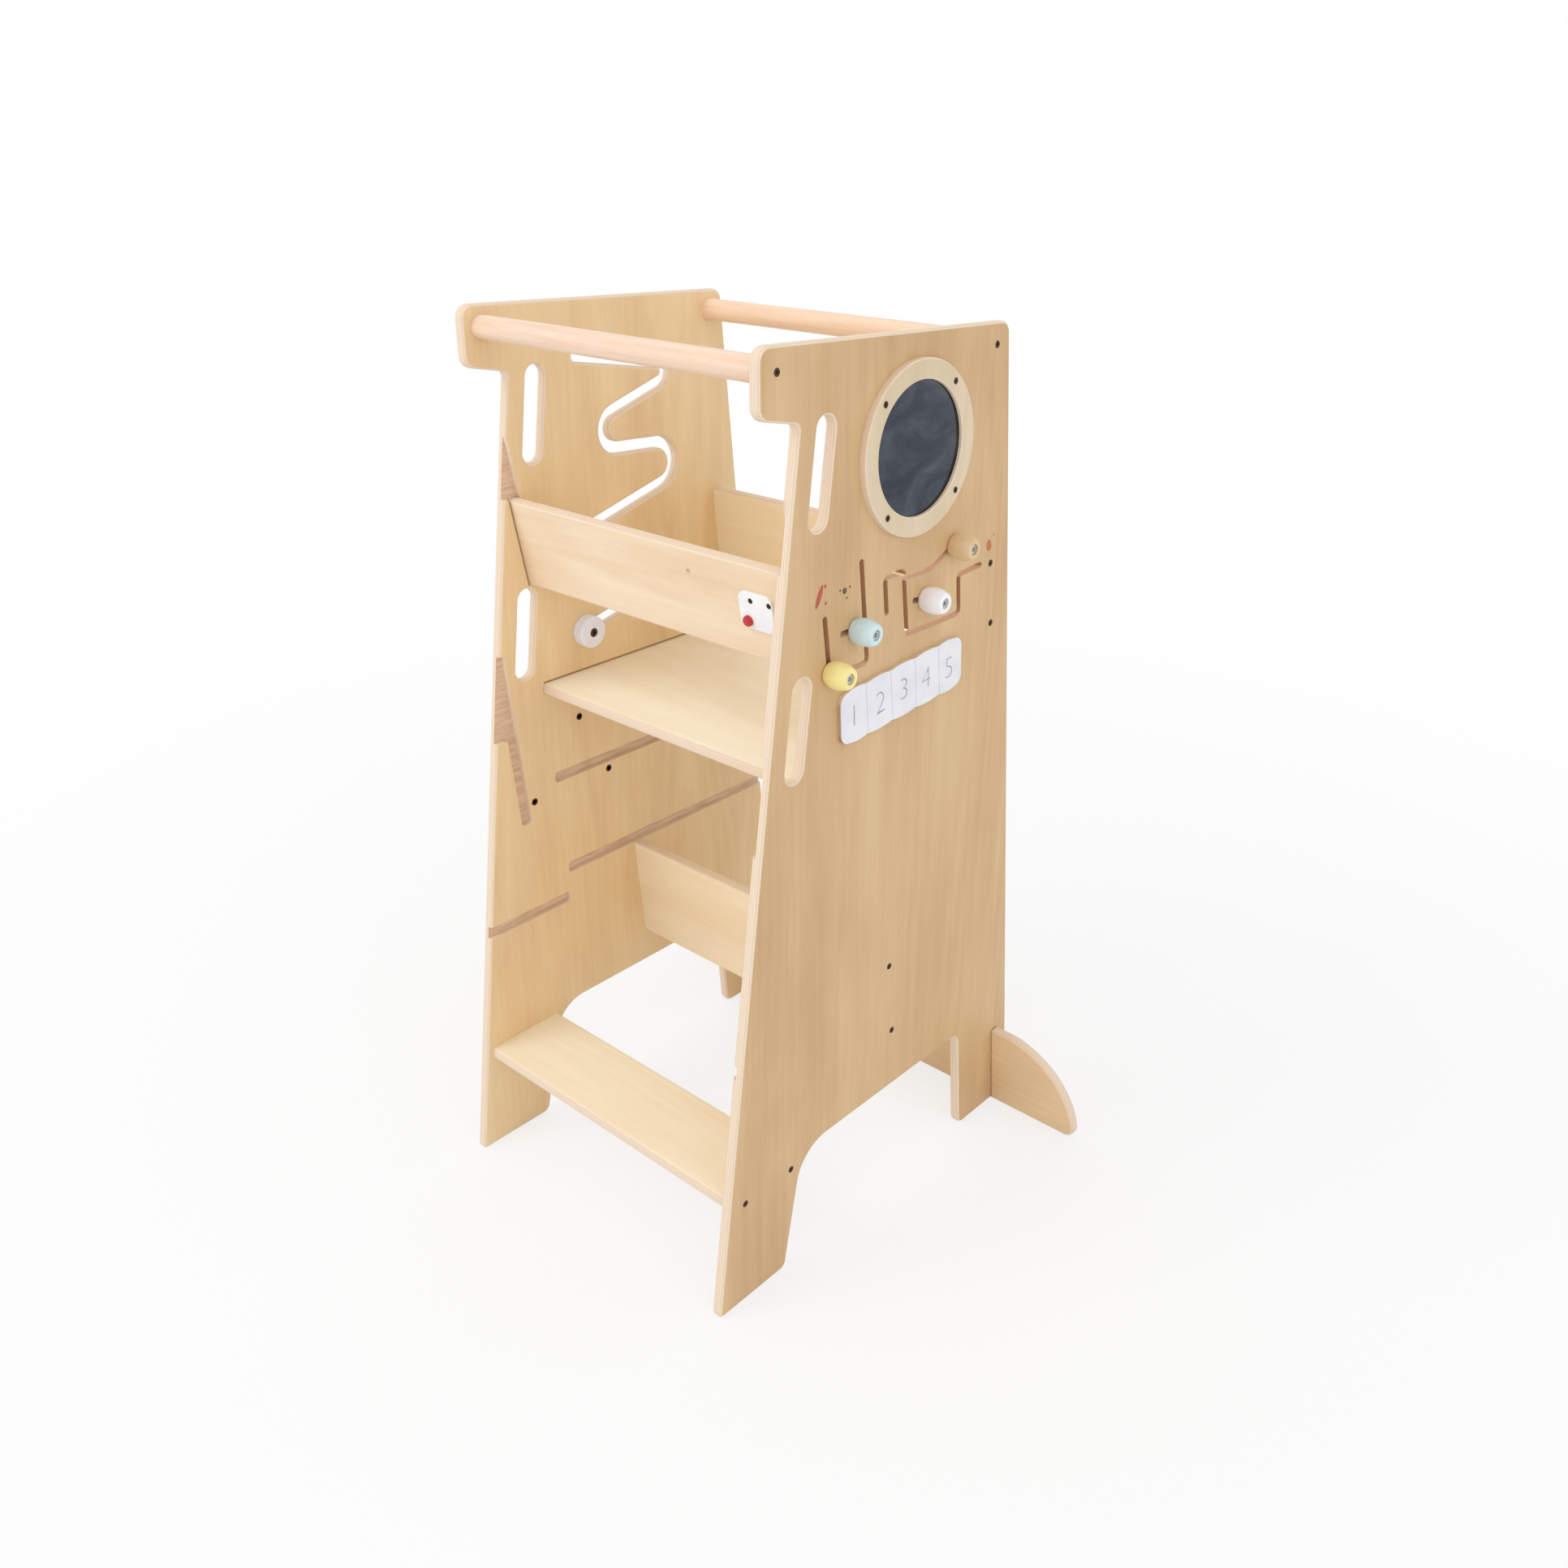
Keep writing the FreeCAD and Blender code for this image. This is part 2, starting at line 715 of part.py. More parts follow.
for name, place in dowel_places.items():
    dowel(name, place)
board("rear_guard", INNER_WIDTH, "Sizes.guard_height",
      leaning(size("rear_guard_inset"), rear_guard_bottom), rear_guard_rises)
board("lower_cross_board", INNER_WIDTH, "Sizes.cross_board_width",
      leaning(size("cross_board_inset"), size("cross_board_bottom")), cross_board_rises)
board("bottom_step", INNER_WIDTH, "Sizes.step_depth",
      Placement(Vector(0, step_front, step_middle_z), LEVEL), step_screw_rises)
board("platform", SLOTTED_LENGTH, "Sizes.platform_depth",
      Placement(Vector(0, SHELVES[0][0] + size("groove_end_gap"), SHELVES[0][1]), LEVEL))

guard_lean = math.radians(size("upper_groove_tilt"))
guard_up = Vector(0, -math.sin(guard_lean), math.cos(guard_lean))
guard_back = Vector(0, math.cos(guard_lean), math.sin(guard_lean))
guard_seat = Vector(0, *upper_seat)
guard_placement = Placement(
    guard_seat + guard_back * (groove_width / 2) + guard_up * (size("groove_play") / 2),
    tilted(size("upper_groove_tilt")),
)
front_guard = board("front_guard", SLOTTED_LENGTH, "Sizes.guard_height", guard_placement)
blind_bores(front_guard, "badge_pilots", "XZ_Plane", size("board_thickness") / 2, BADGE_SCREWS,
            "badge_screw_diameter",
            "Sizes.badge_screw_length - Sizes.badge_thickness + Sizes.groove_play", False)
blind_bores(front_guard, "stud_pilot", "XZ_Plane", size("board_thickness") / 2, [BADGE_STUD],
            "stud_stem_diameter",
            "Sizes.stud_stem_length - Sizes.badge_thickness + Sizes.groove_play", False)


def stabiliser_board():
    """Floor board across both heels, halved over the panels, with a quarter-round fin at each end."""
    body = new_body("stabiliser_board")
    tall, reach = size("stabiliser_height"), size("fin_reach")
    outer_half = inner_half + size("panel_thickness")
    half = size("board_thickness") / 2 / cosine("rear_lean")
    middle = half_depth - size("stabiliser_inset")
    shift = tall * tangent("rear_lean")
    section = new_sketch(body, "section", "YZ_Plane")
    section.addGeometry(rounded_edges([
        (middle - half, 0, 0), (middle + half, 0, 0),
        (middle + half - shift, tall, 0), (middle - half - shift, tall, 0),
    ]))
    pad(body, section, "Sizes.outer_width + 2 * Sizes.fin_reach", both_ways=True)
    beyond = max(tall, reach) + 10
    slant = size("fin_fullness")
    for number, side in enumerate((-1, 1)):
        root = side * outer_half
        waste = new_sketch(body, f"fin{number}", "XZ_Plane")
        waste.addGeometry([
            Part.Arc(Vector(root, tall, 0), Vector(root + side * slant * reach, slant * tall, 0),
                     Vector(root + side * reach, 0, 0)),
            Part.LineSegment(Vector(root + side * reach, 0, 0), Vector(root + side * beyond, 0, 0)),
            Part.LineSegment(Vector(root + side * beyond, 0, 0), Vector(root + side * beyond, beyond, 0)),
            Part.LineSegment(Vector(root + side * beyond, beyond, 0), Vector(root, beyond, 0)),
            Part.LineSegment(Vector(root, beyond, 0), Vector(root, tall, 0)),
        ])
        pocket(body, waste, "2 * Sizes.floor_depth", both_ways=True)

    def fin_tip(edge):
        box = edge.BoundBox
        at_tip = abs(abs(box.XMin) - outer_half - reach) < 1e-3 and box.XLength < 1e-3
        return at_tip and box.ZMax < 1e-3

    fillet(body, fin_tip, "Sizes.fin_tip_round")
    front_face = rear_face = None
    for face in body.Tip.Shape.Faces:
        normal = face.normalAt(0, 0)
        if abs(normal.y) > 0.9 and face.Area > tall * inner_width:
            front_face, rear_face = (face, rear_face) if normal.y < 0 else (front_face, face)
    rims = [edge for face in (front_face, rear_face) for edge in face.Edges]
    fillet(body, lambda edge: edge.BoundBox.ZMax > 1e-3 and any(edge.isSame(rim) for rim in rims),
           "Sizes.edge_round")
    notches = new_sketch(body, "halving", "XZ_Plane")
    floor = size("halving_height") - size("halving_play")
    for side in (-1, 1):
        near, far = inner_half - size("halving_play"), outer_half + size("halving_play")
        notches.addGeometry(rounded_edges([
            (side * near, floor, 0), (side * far, floor, 0),
            (side * far, tall + 5, 0), (side * near, tall + 5, 0),
        ]))
    pocket(body, notches, "2 * Sizes.floor_depth", both_ways=True)
    return keep("stabiliser_board", body)


stabiliser_board()


# ---------------------------------------------------------------- screws, bolts and inserts

def lathe(name, profile, rounded=None):
    """Body turned about local Z from a closed (radius, z) profile of straight runs."""
    body = new_body(name)
    section = new_sketch(body, "section", "XZ_Plane")
    section.addGeometry(rounded_edges([(r, z, 0) for r, z in profile]))
    revolve(body, section, "V_Axis")
    if rounded:
        for chosen, radius in rounded:
            fillet(body, chosen, radius)
    return body


def wood_screw(name, diameter, head, length):
    """Countersunk cross-head screw, its head flush with z = 0 and its point at -length."""
    shank, rim = diameter / 2, head / 2
    body = lathe(name, [
        (0, 0), (rim, 0), (shank, shank - rim), (shank, diameter - length), (0, -length),
    ])
    arm, half_width = 0.3 * head, 0.07 * head
    cross = new_sketch(body, "cross", "XY_Plane")
    plus = []
    for turn in range(4):
        angle = math.pi / 2 * turn
        for u, v in ((arm, -half_width), (arm, half_width), (half_width, half_width)):
            plus.append((u * math.cos(angle) - v * math.sin(angle),
                         u * math.sin(angle) + v * math.cos(angle), 0))
    cross.addGeometry(rounded_edges(plus))
    pocket(body, cross, "Sizes.cross_depth")
    return body


def group(name, master, placements):
    """Copies of one fastener as separate solids of one node."""
    copies = []
    for placement in placements:
        copy = master.Shape.copy()
        copy.Placement = placement
        copies.append(copy)
    feature = doc.addObject("Part::Feature", name)
    feature.Shape = Part.makeCompound(copies)
    return keep(name, feature)


def both_panels(places):
    """Placements for screws driven in from the outer faces of both panels."""
    outer = inner_half + size("panel_thickness")
    placements = [on_panel(outer, place) for place in places]
    return placements + [on_panel(-outer, place, OUT_LEFT) for place in places]


board_screw = wood_screw("board_screw", size("screw_diameter"), size("screw_head_diameter"),
                         size("screw_length"))
group("dowel_screws", board_screw, both_panels(dowel_places.values()))
group("rear_guard_screws", board_screw, both_panels(rear_guard_screws))
group("cross_board_screws", board_screw, both_panels(cross_board_screws))
group("step_screws", board_screw, both_panels(step_screws))

insert_ring = lathe("insert_ring", [
    (size("insert_bore") / 2, 0), (size("insert_diameter") / 2, 0),
    (size("insert_diameter") / 2, -size("insert_length")),
    (size("insert_bore") / 2, -size("insert_length")),
])
group("threaded_inserts", insert_ring,
      [on_panel(inner_half, place, OUT_LEFT) for place in insert_places]
      + [on_panel(-inner_half, place) for place in insert_places])


# ---------------------------------------------------------------- mirror

outer_half = inner_half + size("panel_thickness")
mirror_place = (size("mirror_y"), size("mirror_height"))


def mirror_ring():
    """Wooden ring with a rebate behind it that holds the glass."""
    rim, opening = size("ring_diameter") / 2, size("ring_opening") / 2
    rebate, depth = size("rebate_diameter") / 2, size("rebate_depth")
    top = size("ring_thickness")
    at_top = flat_at("Z", top)
    body = lathe("mirror_ring", [
        (opening, depth), (rebate, depth), (rebate, 0), (rim, 0), (rim, top), (opening, top),
    ], [(at_top, "Sizes.ring_round")])
    holes = new_sketch(body, "holes", "XY_Plane", top)
    add_circles(holes, ring_screw_spots, size("cap_screw_diameter"))
    screw_holes(body, holes, "cap_screw_diameter", "cap_screw_head_diameter")
    doc.recompute()
    body.Placement = on_panel(outer_half, mirror_place)
    return keep("mirror_ring", body)


mirror_ring()
glass = size("glass_diameter") / 2
mirror_glass = lathe("mirror_glass", [
    (0, 0), (glass, 0), (glass, size("glass_thickness")), (0, size("glass_thickness")),
])
mirror_glass.Placement = on_panel(outer_half, mirror_place)
keep("mirror_glass", mirror_glass)
ring_screw = wood_screw("ring_screw", size("cap_screw_diameter"), size("cap_screw_head_diameter"),
                        size("cap_screw_length"))
group("mirror_screws", ring_screw, [
    on_panel(outer_half + size("ring_thickness"), (mirror_place[0] + u, mirror_place[1] + v))
    for u, v in ring_screw_spots
])


# ---------------------------------------------------------------- number plate

def number_plate():
    """Plate of number tiles whose long edges swell a little at each tile."""
    body = new_body("number_plate")
    reach, rise = size("plate_length") / 2, size("plate_width") / 2
    bend, swell = size("plate_corner"), size("plate_scallop")
    tiles = int(size("plate_tiles"))
    stops = [-reach + 2 * reach * tile / tiles for tile in range(tiles + 1)]
    stops[0] += bend
    stops[-1] -= bend
    nook = bend * (1 - math.sqrt(0.5))
    edges = []
    for side in (-1, 1):
        for start, stop in zip(stops, stops[1:]):
            edges.append(Part.Arc(Vector(start, side * rise, 0),
                                  Vector((start + stop) / 2, side * (rise + swell), 0),
                                  Vector(stop, side * rise, 0)))
        edges.append(Part.LineSegment(Vector(side * reach, bend - rise, 0),
                                      Vector(side * reach, rise - bend, 0)))
        for end in (-1, 1):
            edges.append(Part.Arc(Vector(end * (reach - bend), side * rise, 0),
                                  Vector(end * (reach - nook), side * (rise - nook), 0),
                                  Vector(end * reach, side * (rise - bend), 0)))
    outline = new_sketch(body, "outline", "XY_Plane")
    outline.addGeometry(edges)
    pad(body, outline, "Sizes.plate_thickness")
    seams = new_sketch(body, "seams", "XY_Plane", size("plate_thickness"))
    half_seam, slant = size("plate_seam") / 2, size("plate_seam")
    for stop in stops[1:-1]:
        seams.addGeometry(rounded_edges([
            (stop - half_seam - slant, rise - 1, 0), (stop + half_seam - slant, rise - 1, 0),
            (stop + half_seam + slant, 1 - rise, 0), (stop - half_seam + slant, 1 - rise, 0),
        ]))
    pocket(body, seams, "Sizes.plate_seam / 2")
    body.Placement = Placement(
        Vector(outer_half, size("plate_y"), size("plate_height")),
        Rotation(Vector(1, 0, 0), size("plate_tilt")) * OUT_RIGHT,
    )
    return keep("number_plate", body)


number_plate()


# ---------------------------------------------------------------- knobs on the right panel

def bolt(name, seat, end):
    """Socket-head bolt whose head sits on z = seat and whose shank ends at z = end."""
    head, shank = size("bolt_head_diameter") / 2, size("bolt_diameter") / 2
    top = seat + size("bolt_head_height")
    body = lathe(name, [(0, end), (shank, end), (shank, seat), (head, seat), (head, top), (0, top)])
    key = size("bolt_diameter") / 2
    socket = new_sketch(body, "socket", "XY_Plane", top)
    hexagon = [(key * math.cos(math.pi / 3 * step), key * math.sin(math.pi / 3 * step), 0)
               for step in range(6)]
    socket.addGeometry(rounded_edges(hexagon))
    pocket(body, socket, "Sizes.bolt_head_height / 2")
    return keep(name, body)


def retainer(name, diameter, thickness, face):
    """Round nut with a blind bore, its open face at z = face."""
    bore = size("bolt_diameter") / 2 + size("bolt_play")
    rim, depth = diameter / 2, thickness - size("retainer_skin")
    back = flat_at("Z", face - thickness)
    body = lathe(name, [
        (bore, face), (rim, face), (rim, face - thickness), (0, face - thickness),
        (0, face - depth), (bore, face - depth),
    ], [(back, "Sizes.retainer_skin")])
    return keep(name, body)


def knob(name, spot):
    """Turned knob on a bolt that runs in its track, with a retaining nut behind the panel."""
    bore = size("bolt_diameter") / 2 + size("bolt_play")
    base, tip = size("knob_base_diameter") / 2, size("knob_tip_diameter") / 2
    belly, length = size("knob_diameter") / 2, size("knob_length")
    recess, floor = size("knob_recess_diameter") / 2, length - size("knob_recess_depth")
    body = new_body(f"{name}_knob")
    section = new_sketch(body, "section", "XZ_Plane")
    corners = [(tip, length), (recess, length), (recess, floor), (bore, floor), (bore, 0), (base, 0)]
    points = [Vector(r, z, 0) for r, z in corners]
    for start, stop in zip(points, points[1:]):
        section.addGeometry(Part.LineSegment(start, stop))
    section.addGeometry(Part.Arc(points[-1], Vector(belly, 0.45 * length, 0), points[0]))
    revolve(body, section, "V_Axis")
    ends = (flat_at("Z", 0), flat_at("Z", length))

    def rim(edge):
        return any(end(edge) for end in ends) and edge.BoundBox.XLength > 2 * recess + 1

    fillet(body, rim, "Sizes.knob_round")
    behind = -(size("panel_thickness") + 2 * size("knob_gap"))
    parts = [
        keep(f"{name}_knob", body),
        bolt(f"{name}_knob_bolt", floor, behind - size("retainer_thickness") + 2 * size("retainer_skin")),
        retainer(f"{name}_knob_nut", size("retainer_diameter"), size("retainer_thickness"), behind),
    ]
    for part in parts:
        part.Placement = on_panel(outer_half + size("knob_gap"), spot)


for name, spot in KNOB_SPOTS.items():
    knob(name, spot)


# ---------------------------------------------------------------- slider on the left panel

def slider():
    """Grey disc on the wave slot, its bush in the slot and its back disc behind the panel."""
    bore = size("bolt_diameter") / 2 + size("bolt_play")
    rim, thickness = size("slider_diameter") / 2, size("slider_thickness")
    recess = size("knob_recess_diameter") / 2
    floor = thickness - size("bolt_head_height") - size("knob_gap")
    front = flat_at("Z", thickness)

    def front_rim(edge):
        return front(edge) and edge.BoundBox.XLength > rim

    disc = lathe("slider_disc", [
        (bore, 0), (rim, 0), (rim, thickness), (recess, thickness), (recess, floor), (bore, floor),
    ], [(front_rim, "Sizes.slider_round")])
    behind = -(size("panel_thickness") + 2 * size("knob_gap"))
    bush_rim = size("slider_bush_diameter") / 2
    bush = lathe("slider_bush", [(bore, 0), (bush_rim, 0), (bush_rim, behind), (bore, behind)])
    end = behind - size("slider_back_thickness") + 2 * size("retainer_skin")
    screw = bolt("slider_bolt", floor, end)
    back = retainer("slider_back", size("slider_back_diameter"), size("slider_back_thickness"), behind)
    for part in (keep("slider_disc", disc), keep("slider_bush", bush), screw, back):
        part.Placement = on_panel(-inner_half + size("knob_gap"), slider_place)


slider()


# ---------------------------------------------------------------- badge on the front guard

def guard_badge():
    """Plain rounded plate on the guard's front face, in the guard's own placement."""
    body = new_body("guard_badge")
    front = size("board_thickness") / 2
    half_width, half_height = size("badge_width") / 2, size("badge_height") / 2
    x, z, bend = size("badge_x"), size("badge_lift"), size("badge_corner")
    outline = new_sketch(body, "outline", "XZ_Plane", front)
    outline.addGeometry(rounded_edges([
        (x - half_width, z - half_height, bend), (x + half_width, z - half_height, bend),
        (x + half_width, z + half_height, bend), (x - half_width, z + half_height, bend),
    ]))
    pad(body, outline, "Sizes.badge_thickness")
    fillet(body, flat_at("Y", -front - size("badge_thickness")), "Sizes.badge_round")
    stem = new_sketch(body, "stem", "XZ_Plane", front)
    add_circles(stem, [BADGE_STUD], size("stud_stem_diameter") + 2 * size("screw_play"))
    pocket(body, stem, "Sizes.badge_thickness", backwards=True)
    holes = new_sketch(body, "holes", "XZ_Plane", front + size("badge_thickness"))
    add_circles(holes, BADGE_SCREWS, size("badge_screw_diameter"))
    screw_holes(body, holes, "badge_screw_diameter", "badge_screw_head_diameter")
    doc.recompute()
    body.Placement = guard_placement
    return keep("guard_badge", body)


def guard_spot(spot, lift):
    """Placement on the guard for a piece whose local +Z leaves its front face."""
    x, z = spot
    front = size("board_thickness") / 2 + lift
    return guard_placement * Placement(Vector(x, -front, z), Rotation(Vector(1, 0, 0), 90))


guard_badge()
badge_screw = wood_screw("badge_screw", size("badge_screw_diameter"),
                         size("badge_screw_head_diameter"), size("badge_screw_length"))
group("badge_screws", badge_screw,
      [guard_spot(spot, size("badge_thickness")) for spot in BADGE_SCREWS])
stud_rim, stem_rim = size("stud_diameter") / 2, size("stud_stem_diameter") / 2
stud = lathe("badge_stud", [
    (0, -size("stud_stem_length")), (stem_rim, -size("stud_stem_length")), (stem_rim, 0),
    (stud_rim, 0), (stud_rim, size("stud_height")), (0, size("stud_height")),
], [(flat_at("Z", size("stud_height")), "Sizes.stud_round")])
stud.Placement = guard_spot(BADGE_STUD, size("badge_thickness"))
keep("badge_stud", stud)


# ---------------------------------------------------------------- checks and export

doc.recompute()
for thing in doc.Objects:
    if {"Invalid", "Error"} & set(thing.State):
        raise RuntimeError(f"{thing.Label} failed: {thing.State}")
for name, node in NODES.items():
    if node.Shape.isNull() or not node.Shape.isValid():
        raise RuntimeError(f"{name} has no valid shape")

os.makedirs("parts", exist_ok=True)
for name, node in NODES.items():
    node.Shape.exportStep(f"parts/{name}.step")
    print(name, len(node.Shape.Solids), round(node.Shape.Volume))
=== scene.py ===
import math

import bpy
from mathutils import Euler, Matrix, Vector


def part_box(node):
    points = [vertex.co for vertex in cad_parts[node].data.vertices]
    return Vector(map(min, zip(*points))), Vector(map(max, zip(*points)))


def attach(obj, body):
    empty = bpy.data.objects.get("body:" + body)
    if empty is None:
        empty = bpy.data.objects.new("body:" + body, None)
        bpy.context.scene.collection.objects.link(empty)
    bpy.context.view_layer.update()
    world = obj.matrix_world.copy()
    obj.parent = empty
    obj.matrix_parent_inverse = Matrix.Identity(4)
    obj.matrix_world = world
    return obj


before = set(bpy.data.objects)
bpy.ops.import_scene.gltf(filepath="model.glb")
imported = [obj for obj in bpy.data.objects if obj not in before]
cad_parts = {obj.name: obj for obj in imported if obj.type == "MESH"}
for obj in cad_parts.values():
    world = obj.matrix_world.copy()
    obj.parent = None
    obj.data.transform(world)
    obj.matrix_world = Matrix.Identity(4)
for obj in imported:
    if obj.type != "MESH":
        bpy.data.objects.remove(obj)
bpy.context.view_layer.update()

# Toddler learning tower in birch plywood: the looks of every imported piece, and the painted numbers
# and small details that only show. Metres, +Z up, the climbing side faces -Y.

PLY = 0.012                # thickness of every board
PLY_LAYERS = 9             # veneers in that thickness
SKIN = 0.0004              # depth below a face from which a flat surface is the floor of a groove
REAR_LEAN = 5.5            # degrees that the rear guard, cross board and stabiliser lean forward
GUARD_LEAN = 10.8          # degrees that the front guard leans forward
FIN_JOINT = 0.188          # from the middle to the panels' outsides, where the fins start
GUARD_KNOT = ((0.0627, -0.1351, 0.6926), 0.0016)   # place and radius of the front guard's one knot
LANES = ((-0.106, 0.607), (0.130, 0.7125))         # part of the right panel that holds the lanes
GROOVE_SHADOW_LINES = (((-0.114, 0.5181), (0.178, 0.5181)),       # painted shadow lines in the grooves' gaps inside the panels, as (y, z) ends: above the platform, in front of the guard
        ((-0.1230, 0.6245), (-0.1402, 0.7150)))    # above the platform, in front of the guard


# ---------------------------------------------------------------- shader building

def start_material(name):
    """New empty node material and its shader, wired to the output."""
    material = bpy.data.materials.new(name)
    material.use_nodes = True
    tree = material.node_tree
    tree.nodes.clear()
    output = tree.nodes.new("ShaderNodeOutputMaterial")
    shader = tree.nodes.new("ShaderNodeBsdfPrincipled")
    tree.links.new(shader.outputs["BSDF"], output.inputs["Surface"])
    return material, tree, shader


def feed(tree, socket, value):
    """Links a socket to another one, or sets it to a constant."""
    if isinstance(value, bpy.types.NodeSocket):
        tree.links.new(value, socket)
    else:
        socket.default_value = value


def put(tree, kind, values=(), output=0, **settings):
    """Adds a node, sets or links its inputs by index or name, and returns one of its outputs."""
    node = tree.nodes.new(kind)
    for key, value in settings.items():
        setattr(node, key, value)
    for key, value in dict(values).items():
        feed(tree, node.inputs[key], value)
    return node.outputs[output]


def object_place(tree):
    return put(tree, "ShaderNodeTexCoord", output="Object")


def surface_normal(tree):
    return put(tree, "ShaderNodeTexCoord", output="Normal")


def split(tree, vector):
    """The X, Y and Z outputs of a vector."""
    return put(tree, "ShaderNodeSeparateXYZ", {0: vector}).node.outputs


def turned(tree, vector, angles, kind="POINT", shift=(0, 0, 0)):
    """A vector turned by some angles and then, for a place, moved."""
    values = {"Vector": vector, "Rotation": angles}
    if kind == "POINT":
        values["Location"] = shift
    return put(tree, "ShaderNodeMapping", values, vector_type=kind)


def maths(tree, operation, first, second=0.0, third=0.0):
    return put(tree, "ShaderNodeMath", {0: first, 1: second, 2: third}, operation=operation)


def product(tree, first, *others):
    for other in others:
        first = maths(tree, "MULTIPLY", first, other)
    return first


def weighted_sum(tree, *terms):
    """Sum of pairs of a value and its share, held between 0 and 1."""
    total = 0.0
    for value, share in terms:
        total = maths(tree, "MULTIPLY_ADD", value, share, total)
    total.node.use_clamp = True
    return total


def ramp_between(tree, value, low, high):
    """0 below low and 1 above high, with a soft change between them."""
    return put(tree, "ShaderNodeMapRange", {"Value": value, "From Min": low, "From Max": high},
               interpolation_type="SMOOTHSTEP", clamp=True)


def fade_between(tree, value, low, high):
    """1 below low and 0 above high."""
    return maths(tree, "SUBTRACT", 1.0, ramp_between(tree, value, low, high))


def within(tree, value, low, high):
    """1 between low and high, and 0 outside them."""
    return product(tree, maths(tree, "GREATER_THAN", value, low), maths(tree, "LESS_THAN", value, high))


def colour_mix(tree, share, first, second):
    node = tree.nodes.new("ShaderNodeMix")
    node.data_type = "RGBA"
    node.clamp_factor = True
    feed(tree, node.inputs[0], share)
    feed(tree, node.inputs[6], first)
    feed(tree, node.inputs[7], second)
    return node.outputs[2]


def stretched_noise(tree, place, stretch, seed, detail=3.0, roughness=0.55, distortion=0.0):
    """Noise on a place that is stretched along its three directions."""
    scaled = put(tree, "ShaderNodeVectorMath", {0: place, 1: stretch}, operation="MULTIPLY")
    return put(tree, "ShaderNodeTexNoise",
               {"Vector": scaled, "W": seed, "Scale": 1.0, "Detail": detail,
                "Roughness": roughness, "Distortion": distortion}, noise_dimensions="4D")


def linear(red, green, blue):
    """Shader colour of a colour as it is seen, written from 0 to 255."""
    def channel(seen):
        seen /= 255
        return seen / 12.92 if seen <= 0.04045 else ((seen + 0.055) / 1.055) ** 2.4
    return (channel(red), channel(green), channel(blue), 1.0)


def dress(tree, shader, colour, rough_noise, rough_reach, rough_low):
    """Wires a colour, and a roughness that rises with a noise, to the shader."""
    feed(tree, shader.inputs["Base Color"], colour)
    rough = maths(tree, "MULTIPLY_ADD", rough_noise, rough_reach, rough_low)
    feed(tree, shader.inputs["Roughness"], rough)


def raise_surface(tree, shader, height, strength, distance=0.0002):
    """Fine relief that stays below a visible shape."""
    bump = put(tree, "ShaderNodeBump", {"Height": height, "Strength": strength, "Distance": distance})
    feed(tree, shader.inputs["Normal"], bump)


# ---------------------------------------------------------------- birch plywood

# painted shadow browns for the gap where the fin passes the panel, on face and edge
JOINT_SHADOW_BROWN, JOINT_SHADOW_BROWN_EDGE = linear(146, 96, 58), linear(146, 90, 58)
# painted shadow brown for the gaps along the grooves' rims
GROOVE_SHADOW_BROWN = linear(140, 92, 56)


def face_figure(tree, board, seed):
    """How dark a sheet's face is, from broad soft bands, wandering growth lines and short pores.

    Also gives the fine streaks and the pores alone.
    """
    bands = stretched_noise(tree, board, (1.5, 15, 1), seed, 2, 0.5, 0.3)
    field = stretched_noise(tree, board, (1.3, 7.5, 1), seed + 3, 1.5, 0.45, 0.2)
    growth_lines = 74.0
    growth = maths(tree, "SINE", product(tree, field, growth_lines))
    growth = maths(tree, "MULTIPLY_ADD", growth, 0.5, 0.5)
    streaks = stretched_noise(tree, board, (7, 170, 1), seed + 7, 4, 0.6)
    pores = stretched_noise(tree, board, (55, 1100, 1), seed + 9, 2, 0.5)
    clouds = stretched_noise(tree, board, (5, 9, 1), seed + 13, 3, 0.6)
    figure = weighted_sum(tree,
                          (ramp_between(tree, bands, 0.3, 0.7), 0.34),
                          (growth, 0.13),
                          (ramp_between(tree, streaks, 0.3, 0.7), 0.20),
                          (ramp_between(tree, pores, 0.60, 0.72), 0.20),
                          (ramp_between(tree, clouds, 0.35, 0.7), 0.26))
    return figure, streaks, pores


def knotted(tree, face, place, knot):
    """A small knot with a pale halo."""
    middle, radius = knot
    away = put(tree, "ShaderNodeVectorMath", {0: place, 1: middle}, output=1, operation="DISTANCE")
    away = maths(tree, "DIVIDE", away, radius)
    halo = fade_between(tree, away, 0.6, 3.2)
    face = colour_mix(tree, product(tree, halo, 0.3), face, linear(196, 152, 108))
    heart = fade_between(tree, away, 0.5, 1.1)
    return colour_mix(tree, product(tree, heart, 0.75), face, linear(150, 112, 76))


def cut_edge(tree, board, across, seed):
    """Alternate veneers with a thin line of glue between them. Also gives the edge's fibres."""
    wobble = stretched_noise(tree, board, (60, 60, 0), seed + 21, 2)
    layer = maths(tree, "MULTIPLY_ADD", across, PLY_LAYERS / PLY, PLY_LAYERS / 2)
    layer = maths(tree, "ADD", layer, product(tree, maths(tree, "SUBTRACT", wobble, 0.5), 0.3))
    parity = maths(tree, "MODULO", maths(tree, "FLOOR", layer), 2.0)
    from_middle = maths(tree, "ABSOLUTE", maths(tree, "SUBTRACT", maths(tree, "FRACT", layer), 0.5))
    dark_line = product(tree, ramp_between(tree, from_middle, 0.42, 0.5), 0.28)
    fibres = stretched_noise(tree, board, (420, 420, 900), seed + 25, 3)
    lamina = colour_mix(tree, parity, linear(241, 223, 201), linear(230, 208, 183))
    lamina = colour_mix(tree, product(tree, ramp_between(tree, fibres, 0.35, 0.7), 0.3),
                        lamina, linear(226, 198, 172))
    return colour_mix(tree, dark_line, lamina, linear(188, 154, 126)), fibres


